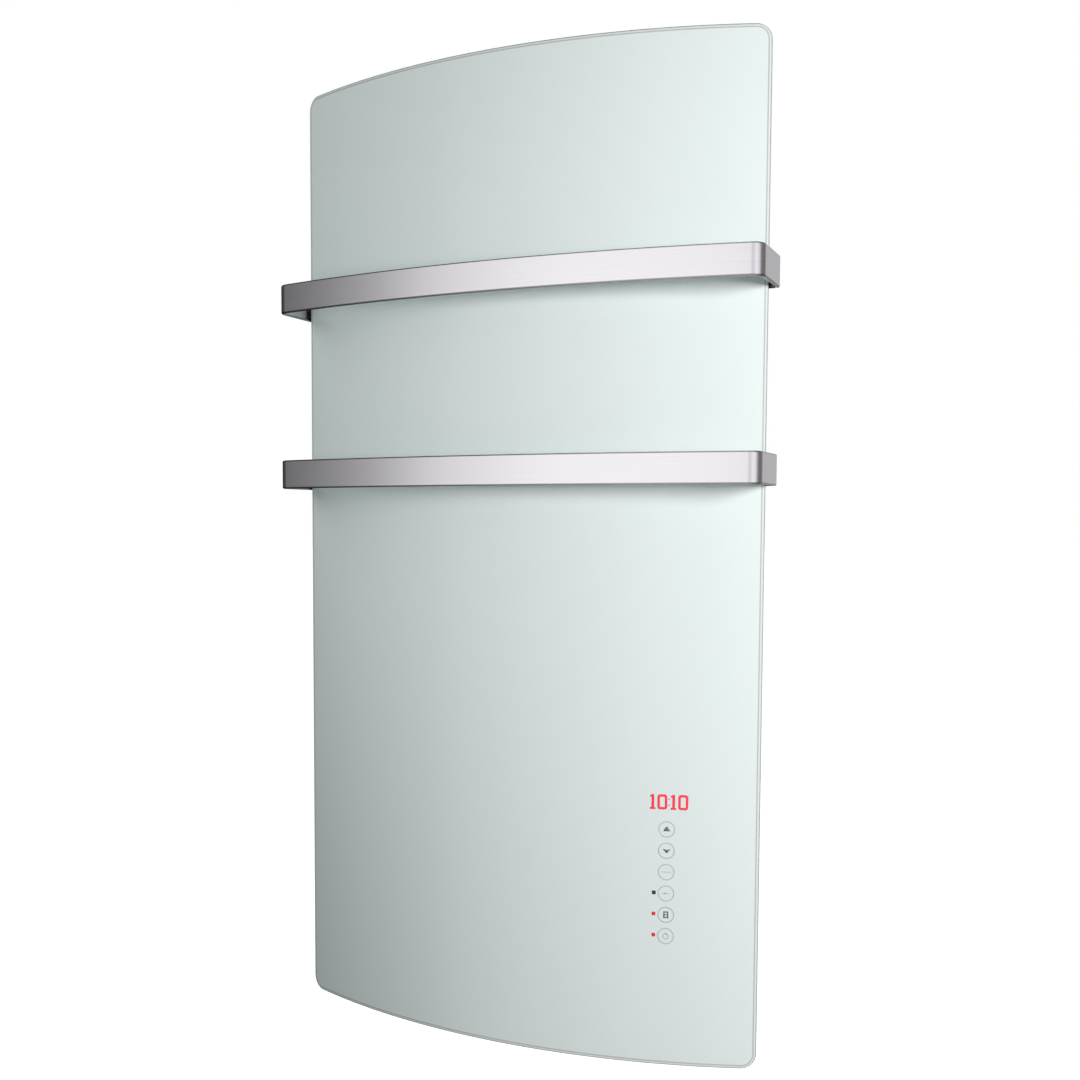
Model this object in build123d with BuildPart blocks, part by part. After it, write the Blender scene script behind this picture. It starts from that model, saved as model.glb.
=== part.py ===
from build123d import *
import math
import os

# Electric radiator: a curved glass panel on a slim steel case, with two towel bars and a fan heater.
# Millimetres. The wall is the plane Y = 0, the front faces -Y and +Z is up.
# The origin lies on the wall, in the middle of the bracket's four screw holes.
# A size called "out" is a distance from the wall, so it stands at Y = -out.

# Fits and fasteners
seat_gap = 0.3
drop_in_gap = 0.3
running_gap = 0.05
screw_hole_gap = 0.2
glue_gap = 0.15
m3_radius = 1.5
m4_radius = 2.0
head_ratio = 1.8
head_height_ratio = 1.3

# Glass panel, bent about a vertical axis
glass_width = 500.0
glass_height = 980.0
glass_thickness = 6.0
glass_radius = 650.0
glass_corner = 15.0
glass_edge_round = 2.4
glass_edge_forward = 1.8

# Layers behind the glass
foil_thickness = 0.5
pad_thickness = 6.0
reflector_thickness = 0.8
heated_side_gap = 13.0
heated_top_gap = 20.0
heated_above_board = 44.0
thermostat_radius = 8.0
thermostat_height = 7.0
thermostat_flange_length = 25.6
thermostat_flange_width = 8.0
thermostat_flange_height = 1.0
thermostat_angle = -5.4
thermostat_above_edge = 50.0

# Steel case
case_side_inset = 32.0
case_end_inset = 40.0
case_gap = 10.0
case_steel = 1.2
case_corner = 12.0
case_bend = 3.0
case_flange = 18.0
vent_slot_width = 4.0
vent_slot_length = 26.0
vent_slot_pitch = 9.0
top_vent_count = 32
intake_count = 20
intake_above_fan = 53.0

# Rails that carry the glass
rail_width = 18.0
rail_inset = 11.0
rail_end_inset = 20.0
bond_thickness = 1.2
bond_width = 14.0
rail_screw_length = 8.0
rail_screw_count = 5
rail_screw_end = 30.0

# Wall bracket with four hooks
bracket_width = 300.0
bracket_height = 380.0
bracket_strip = 40.0
bracket_steel = 2.0
bracket_corner = 8.0
wall_hole_radius = 3.5
wall_hole_spacing_x = 260.0
wall_hole_spacing_z = 340.0
hook_x = 130.0
hook_z = 120.0
hook_width = 20.0
hook_lip = 10.0
hook_play = 0.8
slot_side_gap = 2.0
slot_height = 16.0
bumper_radius = 7.0
bumper_side_inset = 38.0
bumper_above_floor = 25.0

# Towel bars, each a flat strip bent to a wide C
bar_height = 30.0
bar_strip = 4.0
bar_overhang = 7.5
bar_standoff = 52.0
bar_bow = 28.0
bar_behind_edge = 15.0
bar_corner = 14.0
bar_edge_round = 1.8
upper_bar_below_top = 222.0
bar_pitch = 184.0

# Black Z of folded steel that holds each end of a bar on the case's side
holder_steel = 2.5
holder_bar_leg = 13.0
holder_case_leg = 32.0
holder_screw_z = 6.5
bar_screw_inset = 7.5
bar_screw_length = 5.8
case_screw_inset = 19.0
case_screw_length = 6.5
countersink_radius = 3.9

# Flat cover on the case's flange, clamped under the rails
cover_steel = 1.0
cover_gap = 0.5
lead_hole_radius = 4.0
ribbon_slot = 6.0

# Display and touch fields behind the glass
control_inset = 82.0
control_above_bottom = 190.0
board_width = 43.0
board_height = 172.0
board_thickness = 1.6
carrier_wall = 2.0
carrier_lip = 2.0
board_depth = 6.4
digits_width = 40.0
digits_height = 18.0
digits_shift = 1.6
digits_above_middle = 67.5
digits_glass_gap = 0.6
first_field_above_middle = 41.5
field_pitch = 20.8
field_count = 6
field_pad_radius = 6.0
indicator_side = 4.0
indicator_shift = 12.1
indicator_count = 3

# Fan heater
fan_above_floor = 65.0
fan_left = -120.0
wheel_length = 180.0
wheel_radius = 19.0
wheel_disc = 1.5
blade_count = 16
blade_chord = 6.0
blade_thickness = 0.9
blade_lean = 35.0
blade_circle = 15.4
hub_radius = 5.0
hub_length = 8.0
shaft_radius = 2.0
wheel_end_gap = 4.0
wheel_tip_gap = 2.0
wheel_front_gap = 1.5
duct_sheet = 1.5
tongue_angle = 35.0
end_plate = 2.0
end_plate_top = 36.0
duct_front_gap = 2.0
duct_back_gap = 0.3
duct_floor_gap = 2.0
foot_width = 12.0
foot_height = 14.0
foot_above_fan = 20.0
foot_below_fan = 47.0
bush_radius = 4.0
bush_length = 5.0

# Motor on the right of the fan
motor_stand_off = 14.0
core_depth = 16.0
core_width = 40.0
core_top = 23.0
core_bottom = 39.0
core_leg = 8.0
core_window_width = 28.0
core_window_height = 14.0
rotor_radius = 12.0
rotor_gap = 0.4
coil_overhang = 4.0
coil_wall = 8.0
coil_side_gap = 2.0
coil_round = 2.0
bridge_thickness = 3.0
bridge_stand_off = 2.0
bridge_height = 12.0
bridge_foot = 6.0
post_radius = 3.0
post_inset = 4.0
shaft_end_past_bridge = 4.0

# Heater under the wheel
heater_height = 14.0
heater_above_floor = 5.3
heater_frame_side = 5.5
heater_frame_end = 6.0
heater_core = 4.0
heater_shoe = 1.0
fin_count = 34
fin_pitch = 5.0
fin_thickness = 0.8
cutout_length = 14.0
cutout_height = 6.0
cutout_width = 12.0

# Outlet grille
grille_lip = 4.0
grille_thickness = 2.0
grille_slot = 3.2
grille_pitch = 6.4
grille_slot_count = 27

# Electronics box
box_x = -90.0
box_above_floor = 205.0
box_width = 140.0
box_height = 110.0
box_depth = 28.0
box_wall = 2.0
box_lug = 11.0
board_side_gap = 2.0
post_height = 6.0
board_post_radius = 3.5
board_screw_inset = 5.0
board_screw_length = 6.0
lid_lip = 3.0
relay_size = (19.0, 15.0, 15.0)
transformer_size = (30.0, 26.0, 12.0)
transformer_core_size = (34.0, 14.0, 15.0)
capacitor_radius = 6.0
capacitor_length = 14.0
terminal_size = (52.0, 13.0, 12.0)
terminal_ways = 5
earth_beside_box = 40.0
earth_above_box = 30.0
earth_stud_length = 12.0

# Mains rocker switch in the right side
switch_above_floor = 55.0
switch_out = 34.0
switch_body_length = 28.4
switch_body_width = 21.4
switch_body_depth = 18.0
switch_bezel = 2.0
switch_bezel_rim = 2.0
switch_side_wall = 1.4
switch_end_wall = 0.9
rocker_pivot_in = 4.5
rocker_tip = 12.0
rocker_half_length = 12.0
rocker_edge_height = 5.5
rocker_valley_height = 3.8
rocker_depth = 4.0
rocker_end_depth = 1.0
rocker_edge_round = 0.8
rocker_pin_radius = 1.5
rocker_pin_length = 1.0

# Cable inlet, with no cord, and room sensor in the case's floor
gland_side_inset = 68.0
gland_out = 34.0
gland_thread_radius = 8.0
gland_bore_radius = 4.0
gland_hex_radius = 11.0
gland_hex_height = 7.0
gland_cap_height = 8.0
gland_cap_radius = 9.0
gland_thread_length = 12.0
gland_nut_height = 4.0
sensor_side_inset = 43.0
sensor_radius = 2.5
sensor_length = 24.0
sensor_below = 12.0
clip_wall = 2.5
clip_flange = 2.0
clip_flange_height = 1.5

# Leads inside the case
lead_radius = 1.5
lead_bend = 8.0
lead_out = 30.0
ribbon_width = 12.0
ribbon_thickness = 1.0
ribbon_above_middle = 38.0
ribbon_bend = 6.0

# Places that follow from the sizes above, from the wall out and from the floor up
case_width = glass_width - 2 * case_side_inset
case_height = glass_height - 2 * case_end_inset
case_floor_z = -case_height / 2
case_floor_top_z = case_floor_z + case_steel
case_inner_out = case_gap + case_steel
duct_back_out = case_inner_out + duct_back_gap
fan_out = duct_back_out + duct_sheet + wheel_tip_gap + wheel_radius
duct_front_out = fan_out + wheel_radius + wheel_front_gap + duct_sheet
case_front_out = duct_front_out + duct_front_gap + case_steel
case_depth = case_front_out - case_gap
cover_front_out = case_front_out + cover_steel
glass_side_out = cover_front_out + glass_edge_forward
glass_half_angle = math.degrees(math.asin(glass_width / 2 / (glass_radius - glass_edge_round)))
bend_axis_y = -glass_side_out + math.sqrt(glass_radius**2 - (glass_width / 2) ** 2)
glass_back_radius = glass_radius - glass_thickness
rail_x = case_width / 2 - rail_inset
rail_length = case_height - 2 * rail_end_inset
rail_screw_pitch = (rail_length - 2 * rail_screw_end) / (rail_screw_count - 1)
bar_half_width = glass_width / 2 + bar_overhang
bar_front_radius = (bar_half_width**2 + bar_bow**2) / (2 * bar_bow)
bar_side_out = glass_side_out + bar_standoff
bar_axis_y = bar_front_radius - bar_side_out - bar_bow
bar_back_out = glass_side_out - bar_behind_edge
upper_bar_z = glass_height / 2 - upper_bar_below_top
bar_levels = {"upper": upper_bar_z, "lower": upper_bar_z - bar_pitch}
sides = {"left": -1, "right": 1}
holder_screw_zs = [z + s * holder_screw_z for z in bar_levels.values() for s in (-1, 1)]
bar_screw_out = bar_back_out + bar_screw_inset
case_screw_out = bar_back_out - case_screw_inset
control_x = glass_width / 2 - control_inset
control_z = -glass_height / 2 + control_above_bottom
control_angle = math.degrees(math.asin(control_x / glass_radius))
first_field_z = control_z + first_field_above_middle
field_zs = [first_field_z - i * field_pitch for i in range(field_count)]
heated_width = 2 * (rail_x - rail_width / 2 - heated_side_gap)
heated_top = case_height / 2 - heated_top_gap
heated_bottom = control_z + board_height / 2 + heated_above_board
fan_z = case_floor_z + fan_above_floor
duct_left_x = fan_left - wheel_end_gap
duct_right_x = fan_left + wheel_length + wheel_end_gap
duct_length = duct_right_x - duct_left_x
duct_bottom_z = case_floor_top_z + duct_floor_gap
plate_top_z = fan_z + end_plate_top
scroll_radius = wheel_radius + wheel_tip_gap
core_left_x = duct_right_x + end_plate + motor_stand_off
core_right_x = core_left_x + core_depth
post_reach = core_width / 2 - post_inset
post_places = [(s * post_reach - fan_out, fan_z + core_top - post_inset) for s in (-1, 1)]
shaft_left_x = duct_left_x - end_plate - 2 * bush_radius
shaft_right_x = core_right_x + bridge_stand_off + bridge_thickness + shaft_end_past_bridge
heater_bottom_z = duct_bottom_z + heater_above_floor
duct_middle_out = (duct_back_out + duct_front_out) / 2
duct_clear_depth = duct_front_out - duct_back_out - 2 * duct_sheet
box_z = case_floor_z + box_above_floor
box_front_out = case_inner_out + box_depth
power_board_out = case_inner_out + box_wall + post_height
power_board_front_out = power_board_out + board_thickness
power_board_width = box_width - 2 * (box_wall + board_side_gap)
power_board_height = box_height - 2 * (box_wall + board_side_gap)
earth_x = box_x + box_width / 2 + earth_beside_box
switch_z = case_floor_z + switch_above_floor
switch_wall_x = case_width / 2
rocker_x = switch_wall_x + switch_bezel - rocker_pivot_in
rocker_half_width = switch_body_width / 2 - switch_side_wall - drop_in_gap
gland_x = case_width / 2 - gland_side_inset
sensor_x = sensor_side_inset - case_width / 2
ribbon_z = control_z + ribbon_above_middle


def tangent_plane(depth, angle, z):
    """A plane on the surface this deep behind the glass's front, its normal pointing at the wall."""
    radius = glass_radius - depth
    a = math.radians(angle)
    return Plane(
        origin=(radius * math.sin(a), bend_axis_y - radius * math.cos(a), z),
        x_dir=(-math.cos(a), -math.sin(a), 0),
        z_dir=(-math.sin(a), math.cos(a), 0),
    )


def bent_sheet(depth, thickness, width, bottom, top):
    """A sheet bent about the glass's own axis, its front this deep behind the glass's front."""
    radius = glass_radius - depth
    with BuildPart() as sheet:
        with BuildSketch(Plane.XY.offset(bottom)):
            with Locations((0, bend_axis_y)):
                Circle(radius)
                Circle(radius - thickness, mode=Mode.SUBTRACT)
            with Locations((0, bend_axis_y - radius)):
                Rectangle(width, radius, mode=Mode.INTERSECT)
        extrude(amount=top - bottom)
    return sheet


def pan_screws(radius, seats):
    """Pan-head screws with a hexagon socket, for seats given as (plane under the heads, places, length)."""
    head_height = radius * head_height_ratio
    with BuildPart() as screws:
        for plane, places, length in seats:
            with BuildSketch(plane):
                with Locations(*places):
                    Circle(radius * head_ratio)
            extrude(amount=head_height)
            with BuildSketch(plane):
                with Locations(*places):
                    Circle(radius)
            extrude(amount=-length)
            with BuildSketch(plane.offset(head_height)):
                with Locations(*places):
                    RegularPolygon(radius * 0.8, 6)
            extrude(amount=-head_height * 0.6, mode=Mode.SUBTRACT)
    return screws


def upright_edges(part, x, out):
    """The vertical edges that stand this far left and right of the middle and this far from the wall."""
    return part.edges().filter_by(Axis.Z).filter_by(
        lambda e: abs(abs(e.center().X) - x) < 0.01 and abs(e.center().Y + out) < 0.01
    )


def leads(*routes):
    """Round leads, each along straight runs joined by equal bends."""
    with BuildPart() as wires:
        for points in routes:
            with BuildLine() as route:
                FilletPolyline(*points, radius=lead_bend)
            with BuildSketch(Plane(origin=route.line @ 0, z_dir=route.line % 0)):
                Circle(lead_radius)
            sweep(path=route.line)
    return wires


# Faces that the display board and the thermostat lie on, and where the ribbon leaves the board
board_face = tangent_plane(glass_thickness + board_depth, control_angle, control_z)
ribbon_x = board_face.offset(board_thickness).origin.X
foil_depth = glass_thickness + glue_gap
pad_depth = foil_depth + foil_thickness + glue_gap
reflector_depth = pad_depth + pad_thickness + glue_gap
stack_depth = reflector_depth + reflector_thickness
thermostat_z = heated_bottom + thermostat_above_edge
thermostat_plane = tangent_plane(stack_depth, thermostat_angle, thermostat_z)

os.makedirs("parts", exist_ok=True)

# Wall bracket: pressed steel frame with four hooks that the case hangs on
hook_reach = case_inner_out + hook_play
with BuildPart() as wall_bracket:
    with BuildSketch(Plane.XZ):
        RectangleRounded(bracket_width, bracket_height, bracket_corner)
        window_width = bracket_width - 2 * bracket_strip
        window_height = bracket_height - 2 * bracket_strip
        RectangleRounded(window_width, window_height, bracket_corner, mode=Mode.SUBTRACT)
        with GridLocations(wall_hole_spacing_x, wall_hole_spacing_z, 2, 2):
            Circle(wall_hole_radius, mode=Mode.SUBTRACT)
    extrude(amount=bracket_steel)
    for x in (-hook_x, hook_x):
        for z in (-hook_z, hook_z):
            with BuildSketch(Plane.YZ.offset(x - hook_width / 2)):
                with Locations((-hook_reach, z)):
                    Rectangle(hook_reach, bracket_steel, align=(Align.MIN, Align.MAX))
                with Locations((-hook_reach, z - bracket_steel)):
                    Rectangle(bracket_steel, hook_lip + bracket_steel, align=(Align.MAX, Align.MIN))
            extrude(amount=hook_width)
wall_bracket.part.label = "wall_bracket"
export_step(wall_bracket.part, "parts/wall_bracket.step")

# Glass: bent slab with rounded corners and a ground, rounded edge all round
with BuildPart() as glass_front:
    reach = 1.5 * glass_radius
    wedge_x = reach * math.sin(math.radians(glass_half_angle))
    wedge_y = reach * math.cos(math.radians(glass_half_angle))
    with BuildSketch(Plane.XY.offset(-glass_height / 2)):
        with Locations((0, bend_axis_y)):
            Circle(glass_radius)
            Circle(glass_back_radius, mode=Mode.SUBTRACT)
            Polygon((0, 0), (-wedge_x, -wedge_y), (wedge_x, -wedge_y), align=None, mode=Mode.INTERSECT)
    extrude(amount=glass_height)
    through_edges = glass_front.edges().filter_by(GeomType.LINE).filter_by(
        lambda e: abs(e.length - glass_thickness) < 0.01
    )
    fillet(through_edges, glass_corner)
    big_faces = glass_front.faces().filter_by(GeomType.CYLINDER).sort_by(SortBy.AREA)[-2:]
    fillet([edge for face in big_faces for edge in face.edges()], glass_edge_round)
glass_front.part.label = "glass_front"
export_step(glass_front.part, "parts/glass_front.step")

# Heating foil, insulation pad and reflector, stacked on the back of the glass
heating_foil = bent_sheet(foil_depth, foil_thickness, heated_width, heated_bottom, heated_top)
heating_foil.part.label = "heating_foil"
export_step(heating_foil.part, "parts/heating_foil.step")

insulation_pad = bent_sheet(pad_depth, pad_thickness, heated_width, heated_bottom, heated_top)
insulation_pad.part.label = "insulation_pad"
export_step(insulation_pad.part, "parts/insulation_pad.step")

reflector_sheet = bent_sheet(
    reflector_depth, reflector_thickness, heated_width, heated_bottom, heated_top
)
reflector_sheet.part.label = "reflector_sheet"
export_step(reflector_sheet.part, "parts/reflector_sheet.step")

# Thermostat: a bimetal button on the reflector, with a flange
with BuildPart() as foil_thermostat:
    with BuildSketch(thermostat_plane.offset(glue_gap)):
        SlotOverall(thermostat_flange_length, thermostat_flange_width)
    extrude(amount=thermostat_flange_height)
    with BuildSketch(thermostat_plane.offset(glue_gap)):
        Circle(thermostat_radius)
    extrude(amount=thermostat_height)
    fillet(foil_thermostat.faces().sort_by(Axis.Y)[-1].edges(), 1.0)
foil_thermostat.part.label = "foil_thermostat"
export_step(foil_thermostat.part, "parts/foil_thermostat.step")

# Rails: aluminium strips bonded to the glass, with the front curved to it
rail_screw_zs = [(i - (rail_screw_count - 1) / 2) * rail_screw_pitch for i in range(rail_screw_count)]
for side, sign in sides.items():
    with BuildPart() as glass_rail:
        with BuildSketch(Plane.XY.offset(-rail_length / 2)):
            with Locations((0, bend_axis_y)):
                Circle(glass_back_radius - bond_thickness - 2 * glue_gap)
            with Locations((sign * rail_x, -cover_front_out)):
                Rectangle(
                    rail_width,
                    glass_side_out,
                    align=(Align.CENTER, Align.MAX),
                    mode=Mode.INTERSECT,
                )
        extrude(amount=rail_length)
        with BuildSketch(Plane.XZ.offset(cover_front_out)):
            with Locations(*[(sign * rail_x, z) for z in rail_screw_zs]):
                Circle(m4_radius + running_gap)
        extrude(amount=rail_screw_length, mode=Mode.SUBTRACT)
    glass_rail.part.label = f"glass_rail_{side}"
    export_step(glass_rail.part, f"parts/glass_rail_{side}.step")

# Bond: a strip of silicone between each rail and the glass
with BuildPart() as bond_strips:
    for sign in sides.values():
        with BuildSketch(Plane.XY.offset(-rail_length / 2)):
            with Locations((0, bend_axis_y)):
                Circle(glass_back_radius - glue_gap)
                Circle(glass_back_radius - glue_gap - bond_thickness, mode=Mode.SUBTRACT)
            with Locations((sign * rail_x, -cover_front_out)):
                Rectangle(
                    bond_width,
                    glass_side_out,
                    align=(Align.CENTER, Align.MAX),
                    mode=Mode.INTERSECT,
                )
        extrude(amount=rail_length)
bond_strips.part.label = "bond_strips"
export_step(bond_strips.part, "parts/bond_strips.step")

# Screws that hold the rails, put in from inside the case
rail_screw_plane = Plane(
    origin=(0, -case_front_out + case_steel, 0), x_dir=(-1, 0, 0), z_dir=(0, 1, 0)
)
rail_screw_places = [(sign * rail_x, z) for sign in sides.values() for z in rail_screw_zs]
rail_screws = pan_screws(m4_radius, [(rail_screw_plane, rail_screw_places, rail_screw_length)])
rail_screws.part.label = "rail_screws"
export_step(rail_screws.part, "parts/rail_screws.step")

# Case: a folded steel pan, open to the front, with a flange turned in all round
box_lug_places = [(box_x + s * (box_width + box_lug) / 2, box_z) for s in (-1, 1)]
foot_xs = [
    duct_left_x - end_plate - foot_width / 2,
    duct_right_x + end_plate + foot_width / 2,
]
foot_zs = (fan_z + foot_above_fan, fan_z - foot_below_fan)
foot_places = [(x, z) for x in foot_xs for z in foot_zs]
outlet_width = duct_length - 2 * grille_lip
outlet_depth = duct_clear_depth - 2 * duct_sheet
with BuildPart() as rear_chassis:
    with BuildSketch(Plane.XZ.offset(case_gap)):
        RectangleRounded(case_width, case_height, case_corner)
    extrude(amount=case_depth)
    fillet(rear_chassis.faces().sort_by(Axis.Y)[-1].edges(), case_bend)
    offset(amount=-case_steel, openings=rear_chassis.faces().sort_by(Axis.Y)[0])
    with BuildSketch(Plane.XZ.offset(case_front_out - case_steel)):
        RectangleRounded(case_width, case_height, case_corner)
        Rectangle(
            case_width - 2 * case_flange, case_height - 2 * case_flange, mode=Mode.SUBTRACT
        )
    extrude(amount=case_steel)
    # Slots for the bracket's hooks, whose upper edges hang on them
    with BuildSketch(Plane.XZ.offset(case_gap)):
        with GridLocations(2 * hook_x, 2 * hook_z, 2, 2):
            with Locations((0, seat_gap)):
                Rectangle(
                    hook_width + 2 * slot_side_gap, slot_height, align=(Align.CENTER, Align.MAX)
                )
    extrude(amount=case_steel, mode=Mode.SUBTRACT)
    # Intake for the fan, and fixing holes of the fan and the electronics
    with BuildSketch(Plane.XZ.offset(case_gap)):
        with Locations((fan_left + wheel_length / 2, fan_z + intake_above_fan)):
            with GridLocations(vent_slot_pitch, 0, intake_count, 1):
                SlotOverall(vent_slot_length, vent_slot_width, rotation=90)
        with Locations(*foot_places):
            Circle(m3_radius + screw_hole_gap)
        with Locations(*box_lug_places):
            Circle(m3_radius + screw_hole_gap)
    extrude(amount=case_steel, mode=Mode.SUBTRACT)
    # Warm air slots in the top
    with BuildSketch(Plane.XY.offset(case_height / 2)):
        with Locations((0, -case_gap - case_depth / 2)):
            with GridLocations(vent_slot_pitch, 0, top_vent_count, 1):
                SlotOverall(vent_slot_length, vent_slot_width, rotation=90)
    extrude(amount=-case_steel, mode=Mode.SUBTRACT)
    # Outlet, cable inlet and sensor hole in the floor
    with BuildSketch(Plane.XY.offset(case_floor_z)):
        with Locations((fan_left + wheel_length / 2, -duct_middle_out)):
            Rectangle(outlet_width, outlet_depth)
        with Locations((gland_x, -gland_out)):
            Circle(gland_thread_radius)
        with Locations((sensor_x, -fan_out)):
            Circle(sensor_radius + clip_wall)
    extrude(amount=case_steel, mode=Mode.SUBTRACT)
    # Switch opening, and holes for the bar holders' screws, in the sides
    with BuildSketch(Plane.YZ.offset(switch_wall_x)):
        with Locations((-switch_out, switch_z)):
            Rectangle(switch_body_width, switch_body_length)
    extrude(amount=-case_steel, mode=Mode.SUBTRACT)
    for sign in sides.values():
        with BuildSketch(Plane.YZ.offset(sign * case_width / 2)):
            with Locations(*[(-case_screw_out, z) for z in holder_screw_zs]):
                Circle(m4_radius + screw_hole_gap)
        extrude(amount=-sign * case_steel, mode=Mode.SUBTRACT)
    with BuildSketch(Plane.XZ.offset(case_front_out)):
        with Locations(*rail_screw_places):
            Circle(m4_radius + screw_hole_gap)
    extrude(amount=-case_steel, mode=Mode.SUBTRACT)
rear_chassis.part.label = "rear_chassis"
export_step(rear_chassis.part, "parts/rear_chassis.step")

# Rubber bumpers that hold the case's lower end off the wall
bumper_x = case_width / 2 - bumper_side_inset
bumper_z = case_floor_z + bumper_above_floor
with BuildPart() as wall_bumpers:
    with BuildSketch(Plane.XZ):
        with Locations((-bumper_x, bumper_z), (bumper_x, bumper_z)):
            Circle(bumper_radius)
    extrude(amount=case_gap)
    chamfer(wall_bumpers.faces().filter_by(Plane.XZ).group_by(Axis.Y)[-1].edges(), 1.0)
wall_bumpers.part.label = "wall_bumpers"
export_step(wall_bumpers.part, "parts/wall_bumpers.step")

# Cover: a flat sheet on the case's flange, with openings for the foil's lead and the ribbon
with BuildPart() as case_cover:
    with BuildSketch(Plane.XZ.offset(case_front_out)):
        RectangleRounded(case_width - 2 * cover_gap, case_height - 2 * cover_gap, case_corner)
        with Locations(*rail_screw_places):
            Circle(m4_radius + screw_hole_gap, mode=Mode.SUBTRACT)
        with Locations((thermostat_plane.origin.X, thermostat_z)):
            Circle(lead_hole_radius, mode=Mode.SUBTRACT)
        with Locations((ribbon_x, ribbon_z)):
            SlotOverall(
                ribbon_width + ribbon_slot, ribbon_slot, rotation=90, mode=Mode.SUBTRACT
            )
    extrude(amount=cover_steel)
case_cover.part.label = "case_cover"
export_step(case_cover.part, "parts/case_cover.step")

# Towel bars: a front arc, a tight corner at each end and a straight return past the glass's edge
inner_half_width = bar_half_width - bar_strip
for level, bar_z in bar_levels.items():
    bar_foot = Plane.XY.offset(bar_z - bar_height / 2)
    inner_radius = bar_front_radius - bar_strip
    inner_corner_out = math.sqrt(inner_radius**2 - inner_half_width**2) - bar_axis_y
    with BuildPart() as towel_bar:
        with BuildSketch(bar_foot):
            with Locations((0, bar_axis_y)):
                Circle(bar_front_radius)
            with Locations((0, -bar_back_out)):
                Rectangle(
                    2 * bar_half_width,
                    bar_front_radius,
                    align=(Align.CENTER, Align.MAX),
                    mode=Mode.INTERSECT,
                )
        extrude(amount=bar_height)
        with BuildSketch(bar_foot):
            with Locations((0, bar_axis_y)):
                Circle(inner_radius)
            with Locations((0, -bar_back_out)):
                Rectangle(
                    2 * inner_half_width,
                    bar_front_radius,
                    align=(Align.CENTER, Align.MAX),
                    mode=Mode.INTERSECT,
                )
        extrude(amount=bar_height, mode=Mode.SUBTRACT)
        fillet(upright_edges(towel_bar, bar_half_width, bar_side_out), bar_corner)
        fillet(upright_edges(towel_bar, inner_half_width, inner_corner_out), bar_corner - bar_strip)
        fillet(towel_bar.faces().filter_by(Axis.Z).edges(), bar_edge_round)
        for sign in sides.values():
            with BuildSketch(Plane.YZ.offset(sign * inner_half_width)):
                with Locations((-bar_screw_out, bar_z)):
                    with GridLocations(0, 2 * holder_screw_z, 1, 2):
                        Circle(m4_radius + running_gap)
            extrude(amount=sign * (bar_screw_length - holder_steel), mode=Mode.SUBTRACT)
    towel_bar.part.label = f"towel_bar_{level}"
    export_step(towel_bar.part, f"parts/towel_bar_{level}.step")

# Holders: one leg inside the bar's return, a web behind the glass, one leg on the case's side
holder_face_x = inner_half_width - holder_steel
holder_inner_x = case_width / 2
web_front_out = bar_back_out + holder_steel
holder_outline = [
    (holder_inner_x, web_front_out - holder_case_leg),
    (holder_inner_x, web_front_out),
    (holder_face_x, web_front_out),
    (holder_face_x, bar_back_out + holder_bar_leg),
    (inner_half_width, bar_back_out + holder_bar_leg),
    (inner_half_width, bar_back_out),
    (holder_inner_x + holder_steel, bar_back_out),
    (holder_inner_x + holder_steel, web_front_out - holder_case_leg),
]
for level, bar_z in bar_levels.items():
    for side, sign in sides.items():
        with BuildPart() as bar_holder:
            with BuildSketch(Plane.XY.offset(bar_z - bar_height / 2)):
                Polygon(*[(sign * x, -out) for x, out in holder_outline], align=None)
            extrude(amount=bar_height)
            inside_face = Plane(
                origin=(sign * holder_face_x, 0, bar_z), x_dir=(0, 1, 0), z_dir=(sign, 0, 0)
            )
            with BuildSketch(inside_face):
                with Locations((-bar_screw_out, 0)):
                    with GridLocations(0, 2 * holder_screw_z, 1, 2):
                        Circle(countersink_radius)
            extrude(amount=countersink_radius - m4_radius, taper=45, mode=Mode.SUBTRACT)
            with BuildSketch(inside_face):
                with Locations((-bar_screw_out, 0)):
                    with GridLocations(0, 2 * holder_screw_z, 1, 2):
                        Circle(m4_radius + screw_hole_gap)
            extrude(amount=holder_steel, mode=Mode.SUBTRACT)
            with BuildSketch(Plane.YZ.offset(sign * holder_inner_x)):
                with Locations((-case_screw_out, bar_z)):
                    with GridLocations(0, 2 * holder_screw_z, 1, 2):
                        Circle(m4_radius + screw_hole_gap)
            extrude(amount=sign * holder_steel, mode=Mode.SUBTRACT)
        bar_holder.part.label = f"bar_holder_{level}_{side}"
        export_step(bar_holder.part, f"parts/bar_holder_{level}_{side}.step")

# Countersunk screws from inside through each holder into the bar's return
with BuildPart() as bar_screws:
    for sign in sides.values():
        inside_face = Plane(
            origin=(sign * holder_face_x, 0, 0), x_dir=(0, 1, 0), z_dir=(sign, 0, 0)
        )
        spots = [(-bar_screw_out, sign * z) for z in holder_screw_zs]
        with BuildSketch(inside_face):
            with Locations(*spots):
                Circle(countersink_radius)
        extrude(amount=countersink_radius - m4_radius, taper=45)
        with BuildSketch(inside_face):
            with Locations(*spots):
                Circle(m4_radius)
        extrude(amount=bar_screw_length)
        with BuildSketch(inside_face):
            with Locations(*spots):
                RegularPolygon(0.7 * m4_radius, 6)
        extrude(amount=0.7 * m4_radius, mode=Mode.SUBTRACT)
bar_screws.part.label = "bar_screws"
export_step(bar_screws.part, "parts/bar_screws.step")

# Pan-head screws from outside through each holder into the case's side
holder_seats = []
for sign in sides.values():
    seat = Plane(
        origin=(sign * (holder_inner_x + holder_steel), 0, 0), x_dir=(0, 1, 0), z_dir=(sign, 0, 0)
    )
    spots = [(-case_screw_out, sign * z) for z in holder_screw_zs]
    holder_seats.append((seat, spots, case_screw_length))
holder_screws = pan_screws(m4_radius, holder_seats)
holder_screws.part.label = "holder_screws"
export_step(holder_screws.part, "parts/holder_screws.step")

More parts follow.
